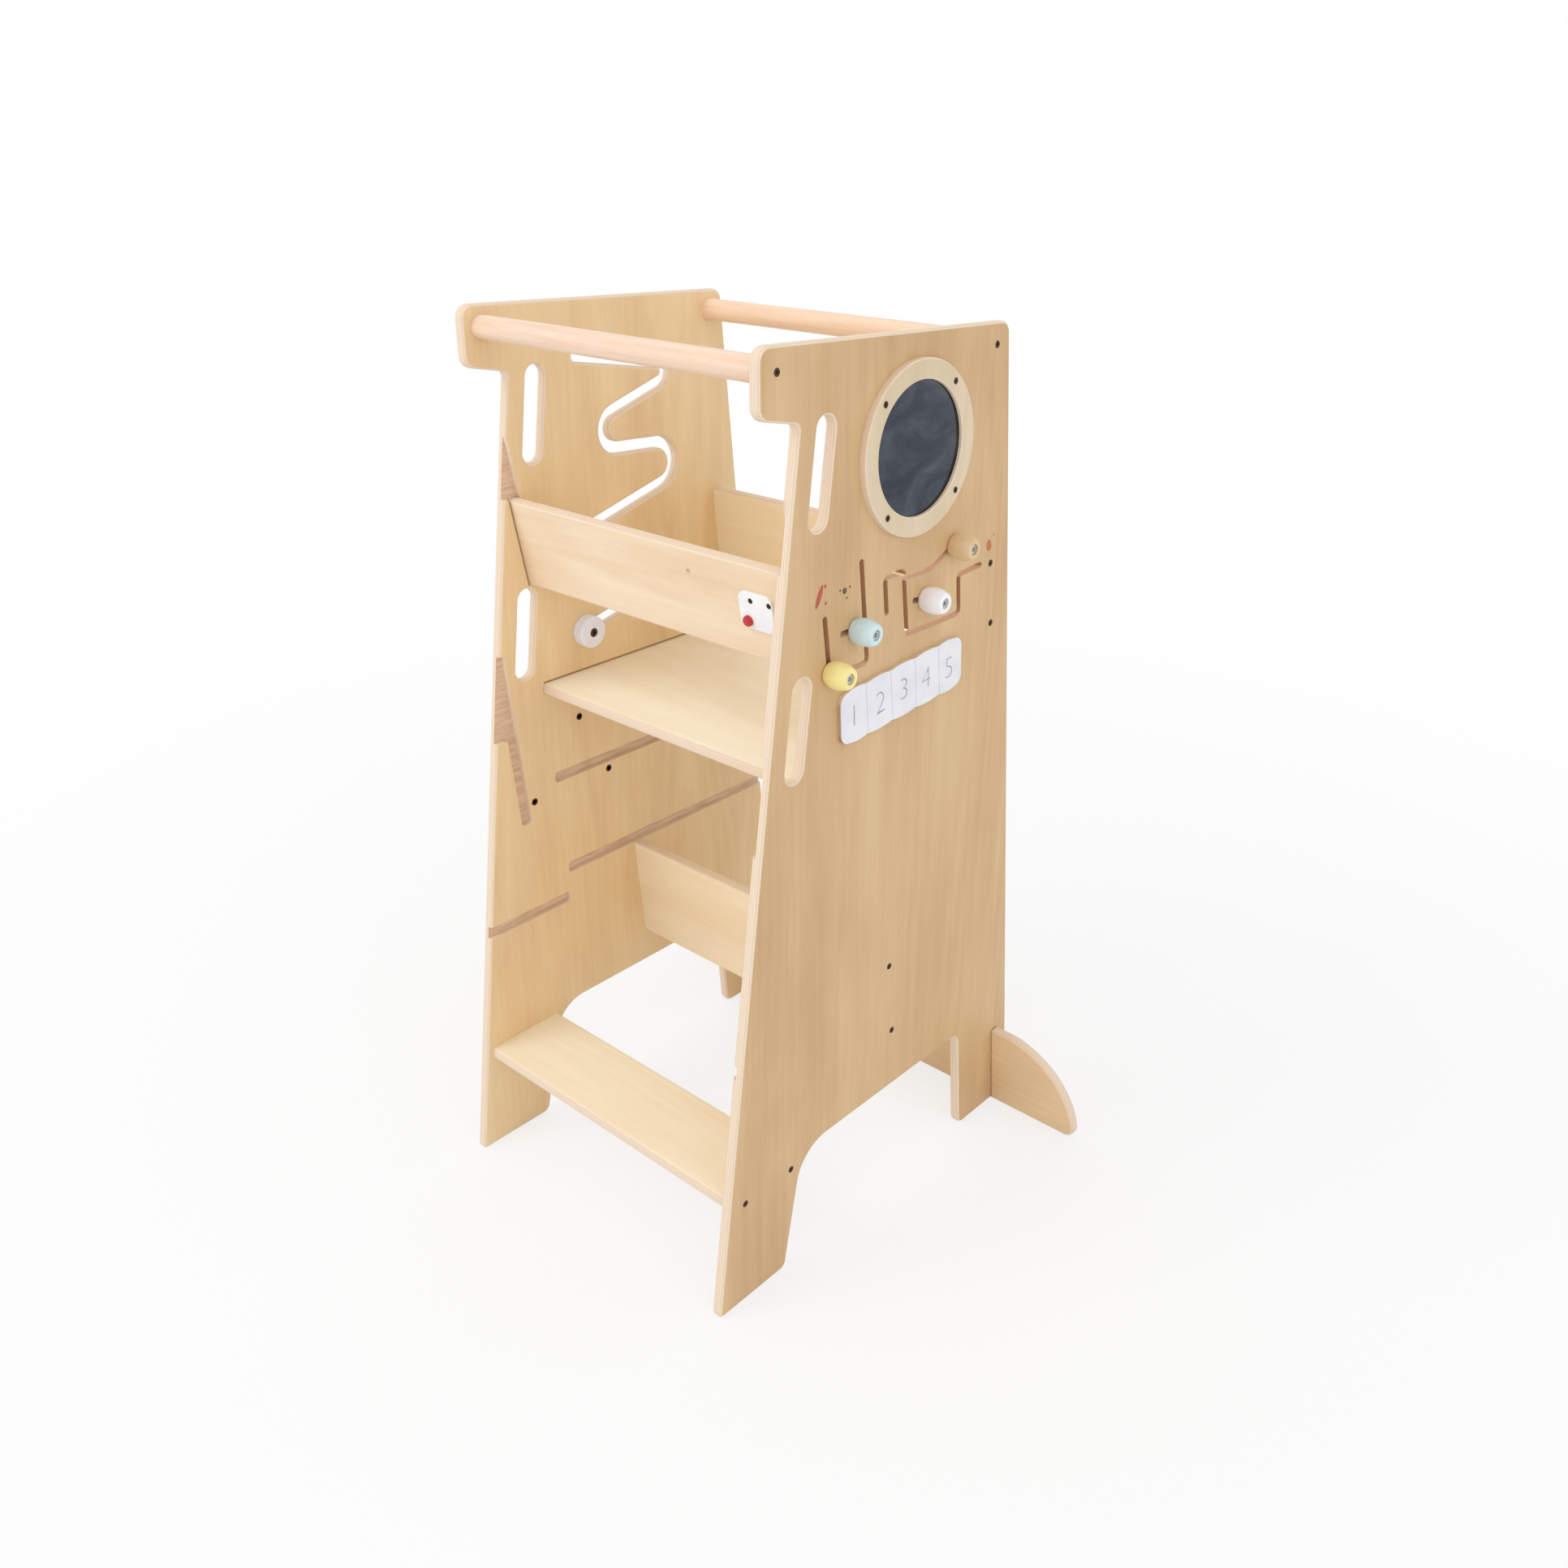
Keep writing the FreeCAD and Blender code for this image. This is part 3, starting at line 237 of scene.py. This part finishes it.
def lane_wall_shade(tree, lamina, fibres, where, normal, lanes):
    """Cut walls within the lanes' area, with painted shade: brown where they face sideways, paler where
    they face up or down.
    """
    (low_y, low_z), (high_y, high_z) = lanes
    area = product(tree, within(tree, where["Y"], low_y, high_y), within(tree, where["Z"], low_z, high_z))
    # painted shade: walls that face sideways get a shaded brown, walls that face up or down a lit pale tone
    level = ramp_between(tree, maths(tree, "ABSOLUTE", split(tree, normal)["Z"]), 0.45, 0.85)
    shaded_walls = colour_mix(tree, level, linear(196, 148, 112), linear(246, 216, 188))
    shaded_walls = colour_mix(tree, product(tree, fibres, 0.3), shaded_walls, linear(158, 112, 80))
    return colour_mix(tree, area, lamina, shaded_walls)


def joint_shadow_line(tree, where, joint):
    """Share of painted shadow beside a joint that stands at this distance from the middle: the shade in the
    gap where the fin passes through the panel.
    """
    beside = maths(tree, "SUBTRACT", maths(tree, "ABSOLUTE", where["X"]), joint)
    line = fade_between(tree, maths(tree, "ABSOLUTE", beside), 0.0006, 0.0022)
    return product(tree, line, 0.7)


def groove_shadow_line(tree, where, inward, start, stop):
    """Share of painted shadow along a groove's rim on the inner face, the shade in the gap beside the
    board, from one (y, z) end to the other.
    """
    length = math.hypot(stop[0] - start[0], stop[1] - start[1])
    run_y, run_z = (stop[0] - start[0]) / length, (stop[1] - start[1]) / length
    from_y = maths(tree, "SUBTRACT", where["Y"], start[0])
    from_z = maths(tree, "SUBTRACT", where["Z"], start[1])
    along = maths(tree, "ADD", product(tree, from_y, run_y), product(tree, from_z, run_z))
    aside = maths(tree, "SUBTRACT", product(tree, from_y, run_z), product(tree, from_z, run_y))
    line = fade_between(tree, maths(tree, "ABSOLUTE", aside), 0.0006, 0.0016)
    return product(tree, line, within(tree, along, 0.0, length), inward, 0.75)


def birch_plywood(name, turn, depth, seed, light, dark, thickness=PLY,
                  knot=None, lanes=None, joint=None, rims=(), inside=None):
    """Rotary-cut birch faces, laminated edges and brown routed grooves.

    turn is the rotation in degrees that lays the grain on x and the thickness on z, and depth is
    the place of the board's middle plane along that z. A knot is a place and a radius. lanes are
    two (y, z) corners between which the cut walls get painted shade, brown where they face sideways,
    and joint is the distance from the middle at which a thin painted shadow line, the shade in the
    gap where the fin passes the panel, crosses the face. inside gives a side panel's inner face: its
    side of the panel and its own two colours, painted light that makes that face lighter and warmer.
    rims are pairs of (y, z) ends of painted shadow lines along the rims of grooves on
    that inner face, the shade in the gaps beside the boards.
    """
    material, tree, shader = start_material(name)
    angles = Euler([math.radians(angle) for angle in turn])
    place, normal = object_place(tree), surface_normal(tree)
    board = turned(tree, place, angles, shift=(0, 0, -depth))
    facing = turned(tree, normal, angles, "NORMAL")
    where, across = split(tree, place), split(tree, board)["Z"]
    flatness = maths(tree, "ABSOLUTE", split(tree, facing)["Z"])
    on_face = ramp_between(tree, flatness, 0.82, 0.97)
    below_skin = maths(tree, "LESS_THAN", maths(tree, "ABSOLUTE", across), thickness / 2 - SKIN)

    figure, streaks, pores = face_figure(tree, board, seed)
    face = colour_mix(tree, figure, light, dark)
    # painted light: the inner face takes its own lighter, warmer colours, for the different light on that
    # face
    if inside:
        side, inner_light, inner_dark = inside
        inward = maths(tree, "GREATER_THAN", product(tree, split(tree, normal)["X"], side), 0.0)
        face = colour_mix(tree, inward, face, colour_mix(tree, figure, inner_light, inner_dark))
    if knot:
        face = knotted(tree, face, place, knot)
    lamina, fibres = cut_edge(tree, board, across, seed)
    # painted shade on the cut walls of the lanes
    if lanes:
        lamina = lane_wall_shade(tree, lamina, fibres, where, normal, lanes)
    # painted shadow: a thin brown line on the fin's face and edge, the shade in the gap at the panel
    if joint:
        dark_line = joint_shadow_line(tree, where, joint)
        face = colour_mix(tree, dark_line, face, JOINT_SHADOW_BROWN)
        lamina = colour_mix(tree, dark_line, lamina, JOINT_SHADOW_BROWN_EDGE)
    # painted shadow lines along the grooves' rims on the inner faces
    for start, stop in rims:
        face = colour_mix(tree, groove_shadow_line(tree, where, inward, start, stop), face, GROOVE_SHADOW_BROWN)

    # Groove floor: a bared inner veneer, browner, with torn fibres across the face grain.
    torn = stretched_noise(tree, board, (260, 30, 1), seed + 31, 4)
    groove = colour_mix(tree, ramp_between(tree, torn, 0.3, 0.7),
                        linear(235, 204, 178), linear(208, 176, 148))

    colour = colour_mix(tree, on_face, lamina, face)
    colour = colour_mix(tree, product(tree, on_face, below_skin), colour, groove)
    feed(tree, shader.inputs["Base Color"], colour)
    face_rough = maths(tree, "MULTIPLY_ADD", streaks, 0.16, 0.36)
    edge_rough = 0.62
    feed(tree, shader.inputs["Roughness"],
         put(tree, "ShaderNodeMix", {0: on_face, 2: edge_rough, 3: face_rough}))
    shader.inputs["Specular IOR Level"].default_value = 0.35
    relief = maths(tree, "ADD", product(tree, streaks, 0.6), product(tree, pores, -0.5))
    relief = put(tree, "ShaderNodeMix", {0: on_face, 2: fibres, 3: relief})
    raise_surface(tree, shader, relief, 0.35)
    return material


def upright_depth(node, lean):
    """Place of a leaning board's middle plane along its own thickness."""
    low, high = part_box(node)
    angle = math.radians(lean)
    middle = (low + high) / 2
    return middle.y * math.cos(angle) + middle.z * math.sin(angle)


SIDE_LIGHT, SIDE_DARK = linear(223, 191, 146), linear(197, 158, 112)
# painted light: the side panels' inner faces, lighter and warmer than the outer faces of the same sheets
INNER_LIGHT, INNER_DARK = linear(246, 221, 177), linear(222, 188, 143)
BOARD_LIGHT, BOARD_DARK = linear(248, 228, 200), linear(228, 196, 158)
REAR_LIGHT, REAR_DARK = linear(255, 244, 214), linear(248, 224, 186)
CROSS_LIGHT, CROSS_DARK = linear(255, 240, 211), linear(242, 212, 172)
LEVEL_LIGHT, LEVEL_DARK = linear(255, 249, 228), linear(246, 226, 194)
FIN_LIGHT, FIN_DARK = linear(244, 217, 177), linear(216, 180, 136)
RING_LIGHT, RING_DARK = linear(230, 214, 186), linear(211, 189, 153)


def panel_wood(name, node, seed, light, dark, **marks):
    """Side panel: grain up the panel, thickness along X."""
    low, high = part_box(node)
    return birch_plywood(name, (0, 90, 0), -(low.x + high.x) / 2, seed, light, dark, high.x - low.x,
                         **marks)


def leaning_wood(name, node, lean, seed, light, dark, **marks):
    """Upright board between the panels: grain along X, thickness along Y but for its lean."""
    return birch_plywood(name, (90 - lean, 0, 0), upright_depth(node, lean), seed, light, dark, **marks)


def level_wood(name, node, seed):
    """Level board between the panels: grain along X, thickness along Z."""
    low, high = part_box(node)
    return birch_plywood(name, (0, 0, 0), (low.z + high.z) / 2, seed, LEVEL_LIGHT, LEVEL_DARK)


# ---------------------------------------------------------------- other finishes

def turned_wood(name, light, dark, seed):
    """Straight-grained turned wood with short dark flecks along its length."""
    material, tree, shader = start_material(name)
    place = object_place(tree)
    streaks = stretched_noise(tree, place, (7, 190, 190), seed, 4, 0.6)
    flecks = stretched_noise(tree, place, (90, 900, 900), seed + 4, 2)
    clouds = stretched_noise(tree, place, (4, 30, 30), seed + 8, 2)
    figure = weighted_sum(tree,
                          (ramp_between(tree, streaks, 0.3, 0.7), 0.45),
                          (ramp_between(tree, flecks, 0.60, 0.70), 0.35),
                          (clouds, 0.25))
    dress(tree, shader, colour_mix(tree, figure, light, dark), streaks, 0.14, 0.34)
    raise_surface(tree, shader, streaks, 0.3)
    return material


def painted_wood(name, colour, shade, seed):
    """Satin paint on turned wood: faint brush clouds and the grain just showing through."""
    material, tree, shader = start_material(name)
    place = object_place(tree)
    clouds = stretched_noise(tree, place, (110, 110, 110), seed, 3)
    grain = stretched_noise(tree, place, (120, 900, 900), seed + 5, 3)
    share = weighted_sum(tree,
                         (ramp_between(tree, clouds, 0.35, 0.7), 0.5),
                         (ramp_between(tree, grain, 0.5, 0.75), 0.25))
    dress(tree, shader, colour_mix(tree, share, colour, shade), clouds, 0.25, 0.3)
    raise_surface(tree, shader, grain, 0.25)
    return material


def worn_metal(name, light, dark, seed, roughness):
    """Plated steel with fine scuffs."""
    material, tree, shader = start_material(name)
    scuffs = stretched_noise(tree, object_place(tree), (500, 900, 900), seed, 4, 0.65)
    colour = colour_mix(tree, ramp_between(tree, scuffs, 0.3, 0.7), light, dark)
    dress(tree, shader, colour, scuffs, 0.3, roughness)
    shader.inputs["Metallic"].default_value = 1.0
    return material


def drifting(tree, place, seed, colour, shade):
    """Two near colours that drift into each other, and a very fine noise for the surface."""
    drift = stretched_noise(tree, place, (45, 45, 45), seed, 3)
    fine = stretched_noise(tree, place, (2200, 2200, 2200), seed + 2, 2)
    return colour_mix(tree, ramp_between(tree, drift, 0.3, 0.7), colour, shade), fine


def moulded_plastic(name, colour, shade, seed, roughness):
    """Smooth plastic with a very fine surface and faint colour drift."""
    material, tree, shader = start_material(name)
    tone, fine = drifting(tree, object_place(tree), seed, colour, shade)
    dress(tree, shader, tone, fine, 0.15, roughness)
    raise_surface(tree, shader, fine, 0.15, 0.0001)
    return material


def faced_plate(name, node, colour, shade):
    """White printed face, its seams included, on a tan core that shows at the rim, with painted shade that
    darkens the rim where it faces down.
    """
    printed_depth = 0.0008
    material, tree, shader = start_material(name)
    place = object_place(tree)
    facing = split(tree, surface_normal(tree))
    white, fine = drifting(tree, place, 1.0, colour, shade)
    near_top = maths(tree, "GREATER_THAN", split(tree, place)["X"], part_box(node)[1].x - printed_depth)
    printed = maths(tree, "MAXIMUM", ramp_between(tree, facing["X"], 0.5, 0.7), near_top)
    # painted shade: the core is darker where it faces down and lighter where it faces up
    core_lit_share = ramp_between(tree, facing["Z"], -0.5, 0.5)
    core = colour_mix(tree, core_lit_share, linear(176, 128, 96), linear(230, 206, 180))
    fibres = stretched_noise(tree, place, (900, 160, 160), 5.0, 3)
    core = colour_mix(tree, product(tree, ramp_between(tree, fibres, 0.3, 0.7), 0.35),
                      core, linear(168, 122, 92))
    dress(tree, shader, colour_mix(tree, printed, core, white), fine, 0.15, 0.35)
    raise_surface(tree, shader, fine, 0.15, 0.0001)
    return material


def mirror_sheet(name):
    """Safety mirror seen in shade: dark slate with faint smears and a slightly wavy surface."""
    material, tree, shader = start_material(name)
    place = object_place(tree)
    smears = stretched_noise(tree, place, (1, 16, 34), 3.0, 4, 0.6, 0.8)
    waves = stretched_noise(tree, place, (1, 9, 6), 5.0, 1)
    # painted shade: the mirror's dark slate colours stand in for the shade it is seen in
    tone = colour_mix(tree, ramp_between(tree, smears, 0.35, 0.75), linear(60, 65, 74), linear(88, 92, 100))
    dress(tree, shader, tone, smears, 0.12, 0.05)
    shader.inputs["Metallic"].default_value = 1.0
    raise_surface(tree, shader, waves, 0.4, 0.002)
    return material


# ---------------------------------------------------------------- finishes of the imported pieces

steel = worn_metal("zinc_steel", linear(226, 225, 222), linear(186, 185, 182), 2.0, 0.35)
dark_steel = worn_metal("dark_steel", linear(112, 90, 72), linear(70, 56, 46), 5.0, 0.4)

finishes = {
    "side_panel_right": panel_wood("right_panel_birch", "side_panel_right", 1.0, SIDE_LIGHT, SIDE_DARK,
                                   lanes=LANES, rims=GROOVE_SHADOW_LINES, inside=(-1.0, INNER_LIGHT, INNER_DARK)),
    "side_panel_left": panel_wood("left_panel_birch", "side_panel_left", 4.0, SIDE_LIGHT, SIDE_DARK,
                                  rims=GROOVE_SHADOW_LINES, inside=(1.0, INNER_LIGHT, INNER_DARK)),
    "front_guard": leaning_wood("front_guard_birch", "front_guard", GUARD_LEAN, 7.0,
                                BOARD_LIGHT, BOARD_DARK, knot=GUARD_KNOT),
    "rear_guard": leaning_wood("rear_guard_birch", "rear_guard", REAR_LEAN, 10.0, REAR_LIGHT, REAR_DARK),
    "lower_cross_board": leaning_wood("cross_board_birch", "lower_cross_board", REAR_LEAN, 13.0,
                                      CROSS_LIGHT, CROSS_DARK),
    "stabiliser_board": leaning_wood("stabiliser_birch", "stabiliser_board", REAR_LEAN, 16.0,
                                     FIN_LIGHT, FIN_DARK, joint=FIN_JOINT),
    "platform": level_wood("platform_birch", "platform", 19.0),
    "bottom_step": level_wood("step_birch", "bottom_step", 22.0),
    "front_dowel": turned_wood("front_rail_beech", linear(245, 221, 199), linear(225, 186, 154), 2.0),
    "rear_dowel": turned_wood("rear_rail_beech", linear(250, 222, 196), linear(228, 188, 152), 6.0),
    "mirror_ring": panel_wood("mirror_ring_birch", "mirror_ring", 25.0, RING_LIGHT, RING_DARK),
    "mirror_glass": mirror_sheet("safety_mirror"),
    "number_plate": faced_plate("number_plate_white", "number_plate",
                                linear(238, 238, 243), linear(228, 228, 236)),
    "yellow_knob": painted_wood("yellow_paint", linear(251, 239, 162), linear(249, 225, 134), 1.0),
    "teal_knob": painted_wood("teal_paint", linear(216, 239, 245), linear(193, 222, 227), 2.0),
    "white_knob": painted_wood("white_paint", linear(252, 251, 254), linear(236, 234, 240), 3.0),
    "natural_knob": turned_wood("knob_beech", linear(232, 204, 160), linear(210, 176, 130), 9.0),
    # painted light: the slider disc is made near white, lighter than its real light grey, to make up for
    # the shade under the guard
    "slider_disc": painted_wood("slider_grey", linear(241, 244, 254), linear(226, 228, 242), 4.0),
    "slider_back": painted_wood("slider_back_grey", linear(226, 225, 227), linear(208, 207, 211), 6.0),
    "slider_bush": moulded_plastic("bush_nylon", linear(238, 234, 224), linear(226, 220, 208), 3.0, 0.4),
    "guard_badge": moulded_plastic("badge_white", linear(248, 248, 248), linear(238, 238, 240), 5.0, 0.2),
    "badge_stud": moulded_plastic("stud_red", linear(200, 44, 44), linear(178, 30, 34), 7.0, 0.2),
}
for node in ("dowel_screws", "rear_guard_screws", "cross_board_screws", "step_screws",
             "threaded_inserts", "mirror_screws", "badge_screws", "slider_bolt"):
    finishes[node] = dark_steel
for knob in ("yellow_knob", "teal_knob", "white_knob", "natural_knob"):
    finishes[knob + "_bolt"] = steel
    finishes[knob + "_nut"] = steel
for node, material in finishes.items():
    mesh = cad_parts[node].data
    mesh.materials.clear()
    mesh.materials.append(material)


# ---------------------------------------------------------------- numbers on the plate and painted marks

OUTWARD = Matrix(((0, 0, 1), (1, 0, 0), (0, 1, 0))).to_4x4()   # flat work turned to face +X
INK_THICKNESS = 0.00012
DIGIT_HEIGHT = 0.022
DIGIT_SHARE = 0.7          # a digit's height as a share of its text size
DIGIT_THINNING = -0.0009   # taken off each side of a stroke
DIGIT_TURN = 3.0           # degrees, with the plate's tiles
DIGIT_PLACES = {"1": (-0.0617, 0.5686), "2": (-0.0243, 0.5699), "3": (0.0098, 0.5729),
                "4": (0.0433, 0.5735), "5": (0.0789, 0.5738)}

SPOT_TOP = 0.93            # size of a spot's outer side against its foot

# Small plain spots beside the lanes: (y, z, half width, half height, turn).
PAINTED_SPOTS = {
    "red_spots": [(-0.1060, 0.6890, 0.0030, 0.0105, -24), (-0.0985, 0.6965, 0.0017, 0.0017, 0),
                  (-0.0975, 0.6815, 0.0014, 0.0014, 0)],
    "orange_spots": [(0.1405, 0.6800, 0.0042, 0.0058, 14), (0.1475, 0.6895, 0.0012, 0.0012, 0)],
    "brown_spots": [(-0.0730, 0.6865, 0.0028, 0.0028, 0), (-0.0660, 0.6885, 0.0011, 0.0011, 0),
                    (-0.0790, 0.6880, 0.0011, 0.0011, 0), (-0.0700, 0.6795, 0.0011, 0.0011, 0)],
}
SPOT_PAINTS = {
    "red_spots": ("stud_plastic", linear(186, 92, 70), linear(160, 70, 54)),
    "orange_spots": ("yellow_paint", linear(204, 122, 72), linear(180, 96, 54)),
    "brown_spots": ("knob_wood", linear(104, 78, 60), linear(80, 58, 46)),
}


def settle(piece, matrix):
    """Places a piece and keeps that place in its mesh."""
    bpy.ops.object.select_all(action="DESELECT")
    piece.select_set(True)
    bpy.context.view_layer.objects.active = piece
    piece.matrix_world = matrix
    bpy.ops.object.transform_apply(location=True, rotation=True, scale=True)


def join(pieces, name, material):
    """One named piece, in one material, from several."""
    bpy.ops.object.select_all(action="DESELECT")
    for piece in pieces:
        piece.select_set(True)
    whole = pieces[0]
    bpy.context.view_layer.objects.active = whole
    bpy.ops.object.join()
    whole.name = name
    whole.data.name = name
    whole.data.materials.clear()
    whole.data.materials.append(material)
    return whole


def on_right_panel(x, y, z, turn):
    return Matrix.Translation((x, y, z)) @ Matrix.Rotation(math.radians(turn), 4, "X") @ OUTWARD


def plate_numbers():
    """The five thin printed numbers, one near the middle of each tile."""
    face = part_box("number_plate")[1].x
    numbers = []
    for digit, (y, z) in DIGIT_PLACES.items():
        bpy.ops.object.select_all(action="DESELECT")
        bpy.ops.object.text_add(location=(0, 0, 0))
        text = bpy.context.active_object
        text.data.body = digit
        text.data.align_x = "CENTER"
        text.data.align_y = "CENTER"
        text.data.size = DIGIT_HEIGHT / DIGIT_SHARE
        text.data.offset = DIGIT_THINNING
        text.data.extrude = INK_THICKNESS / 2
        bpy.ops.object.convert(target="MESH")
        settle(text, on_right_panel(face + INK_THICKNESS / 2, y, z, DIGIT_TURN))
        numbers.append(text)
    ink = painted_wood("number_ink", linear(166, 167, 190), linear(146, 148, 172), 21.0)
    printed = join(numbers, "plate_numbers", ink)
    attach(printed, "tower")


def painted_spot(half_width, half_height):
    """Thin oval of paint, a little smaller on its outer side, lying at the origin."""
    bpy.ops.object.select_all(action="DESELECT")
    bpy.ops.mesh.primitive_circle_add(vertices=40, radius=1.0, fill_type="NGON")
    spot = bpy.context.active_object
    bpy.ops.object.mode_set(mode="EDIT")
    bpy.ops.mesh.select_all(action="SELECT")
    bpy.ops.transform.resize(value=(half_width, half_height, 1))
    bpy.ops.mesh.extrude_region_move(TRANSFORM_OT_translate={"value": (0, 0, INK_THICKNESS)})
    bpy.ops.transform.resize(value=(SPOT_TOP, SPOT_TOP, 1))
    bpy.ops.mesh.select_all(action="SELECT")
    bpy.ops.mesh.normals_make_consistent(inside=False)
    bpy.ops.object.mode_set(mode="OBJECT")
    return spot


def painted_spots():
    """The spots beside the lanes, one piece for each colour."""
    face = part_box("side_panel_right")[1].x
    for name, places in PAINTED_SPOTS.items():
        spots = []
        for y, z, half_width, half_height, turn in places:
            spot = painted_spot(half_width, half_height)
            settle(spot, on_right_panel(face, y, z, turn))
            spots.append(spot)
        slot, colour, shade = SPOT_PAINTS[name]
        spots_piece = join(spots, name, painted_wood(name + "_paint", colour, shade, 30.0))
        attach(spots_piece, "tower")


plate_numbers()
painted_spots()


# ---------------------------------------------------------------- camera, floor and light

SCENE_MIDDLE = (0, 0, 0.5)
FLOOR_SIZE = 60
FLOOR_DROP = 0.0005        # below the feet, so that the faces don't meet
FLOOR_TONE = 0.86
SHADOW_REACH = (0.5, 2.2)  # from the middle, where the floor's shadow starts and has faded
WHITE_NEAR = 0.72          # share of plain white in the floor as it is seen beside the feet
SKY_LIGHT = 0.90           # the sky's strength as a lamp; it is seen as plain white

camera = bpy.data.objects.new("camera", bpy.data.cameras.new("camera"))
bpy.context.scene.collection.objects.link(camera)
bpy.context.scene.camera = camera
camera.location = (0.9297, -0.9731, 1.0650)
camera.rotation_euler = [math.radians(angle) for angle in (67.01, 0.0, 42.01)]
camera.data.sensor_width = 36.0
camera.data.lens = 33.16
camera.data.shift_y = -0.0427


def seen_directly(tree):
    """1 for rays that show a surface to the camera, straight, mirrored or through, and 0 for light."""
    rays = put(tree, "ShaderNodeLightPath").node.outputs
    seen = maths(tree, "MAXIMUM", rays["Is Camera Ray"], rays["Is Glossy Ray"])
    return maths(tree, "MAXIMUM", seen, rays["Is Transmission Ray"])


def shader_mix(tree, share, first, second, output):
    mix = put(tree, "ShaderNodeMixShader", {0: share, 1: first, 2: second})
    tree.links.new(mix, output.inputs["Surface"])


def pale_floor():
    """Large white floor that keeps the shadow, and fades to plain white around it."""
    bpy.ops.object.select_all(action="DESELECT")
    bpy.ops.mesh.primitive_plane_add(size=FLOOR_SIZE, location=(0, 0, -FLOOR_DROP))
    floor = bpy.context.active_object
    floor.name = "floor"
    material, tree, shader = start_material("floor_white")
    shader.inputs["Base Color"].default_value = (FLOOR_TONE, FLOOR_TONE, FLOOR_TONE, 1)
    shader.inputs["Roughness"].default_value = 0.9
    shader.inputs["Specular IOR Level"].default_value = 0.0
    reach = put(tree, "ShaderNodeVectorMath", {0: object_place(tree)}, output=1, operation="LENGTH")
    white_share = put(tree, "ShaderNodeMapRange",
                      {"Value": reach, "From Min": SHADOW_REACH[0], "From Max": SHADOW_REACH[1],
                       "To Min": WHITE_NEAR, "To Max": 1.0},
                      interpolation_type="SMOOTHSTEP", clamp=True)
    white = put(tree, "ShaderNodeEmission", {"Strength": 1.0})
    output = next(node for node in tree.nodes if node.type == "OUTPUT_MATERIAL")
    shader_mix(tree, product(tree, seen_directly(tree), white_share), shader.outputs["BSDF"], white, output)
    floor.data.materials.append(material)


def pale_sky():
    """Even white light from all around, seen as plain white."""
    world = bpy.data.worlds.new("studio")
    bpy.context.scene.world = world
    world.use_nodes = True
    tree = world.node_tree
    tree.nodes.clear()
    white = (1.0, 1.0, 1.0, 1)
    lighting = put(tree, "ShaderNodeBackground", {"Color": white, "Strength": SKY_LIGHT})
    shown = put(tree, "ShaderNodeBackground", {"Color": white, "Strength": 1.0})
    shader_mix(tree, seen_directly(tree), lighting, shown, tree.nodes.new("ShaderNodeOutputWorld"))


def soft_lamp(name, place, size, power):
    """Round lamp aimed at the middle of the scene, kept out of reflections."""
    lamp = bpy.data.lights.new(name, "AREA")
    lamp.shape = "DISK"
    lamp.size = size
    lamp.energy = power
    holder = bpy.data.objects.new(name, lamp)
    bpy.context.scene.collection.objects.link(holder)
    holder.location = place
    aim = Vector(SCENE_MIDDLE) - Vector(place)
    holder.rotation_euler = aim.to_track_quat("-Z", "Y").to_euler()
    holder.visible_glossy = False


pale_floor()
pale_sky()
soft_lamp("key", (-1.3, -2.6, 3.0), 2.2, 34)
soft_lamp("fill", (2.8, -1.2, 1.8), 2.4, 10)

bpy.context.scene.view_settings.view_transform = "Standard"

bpy.context.view_layer.update()
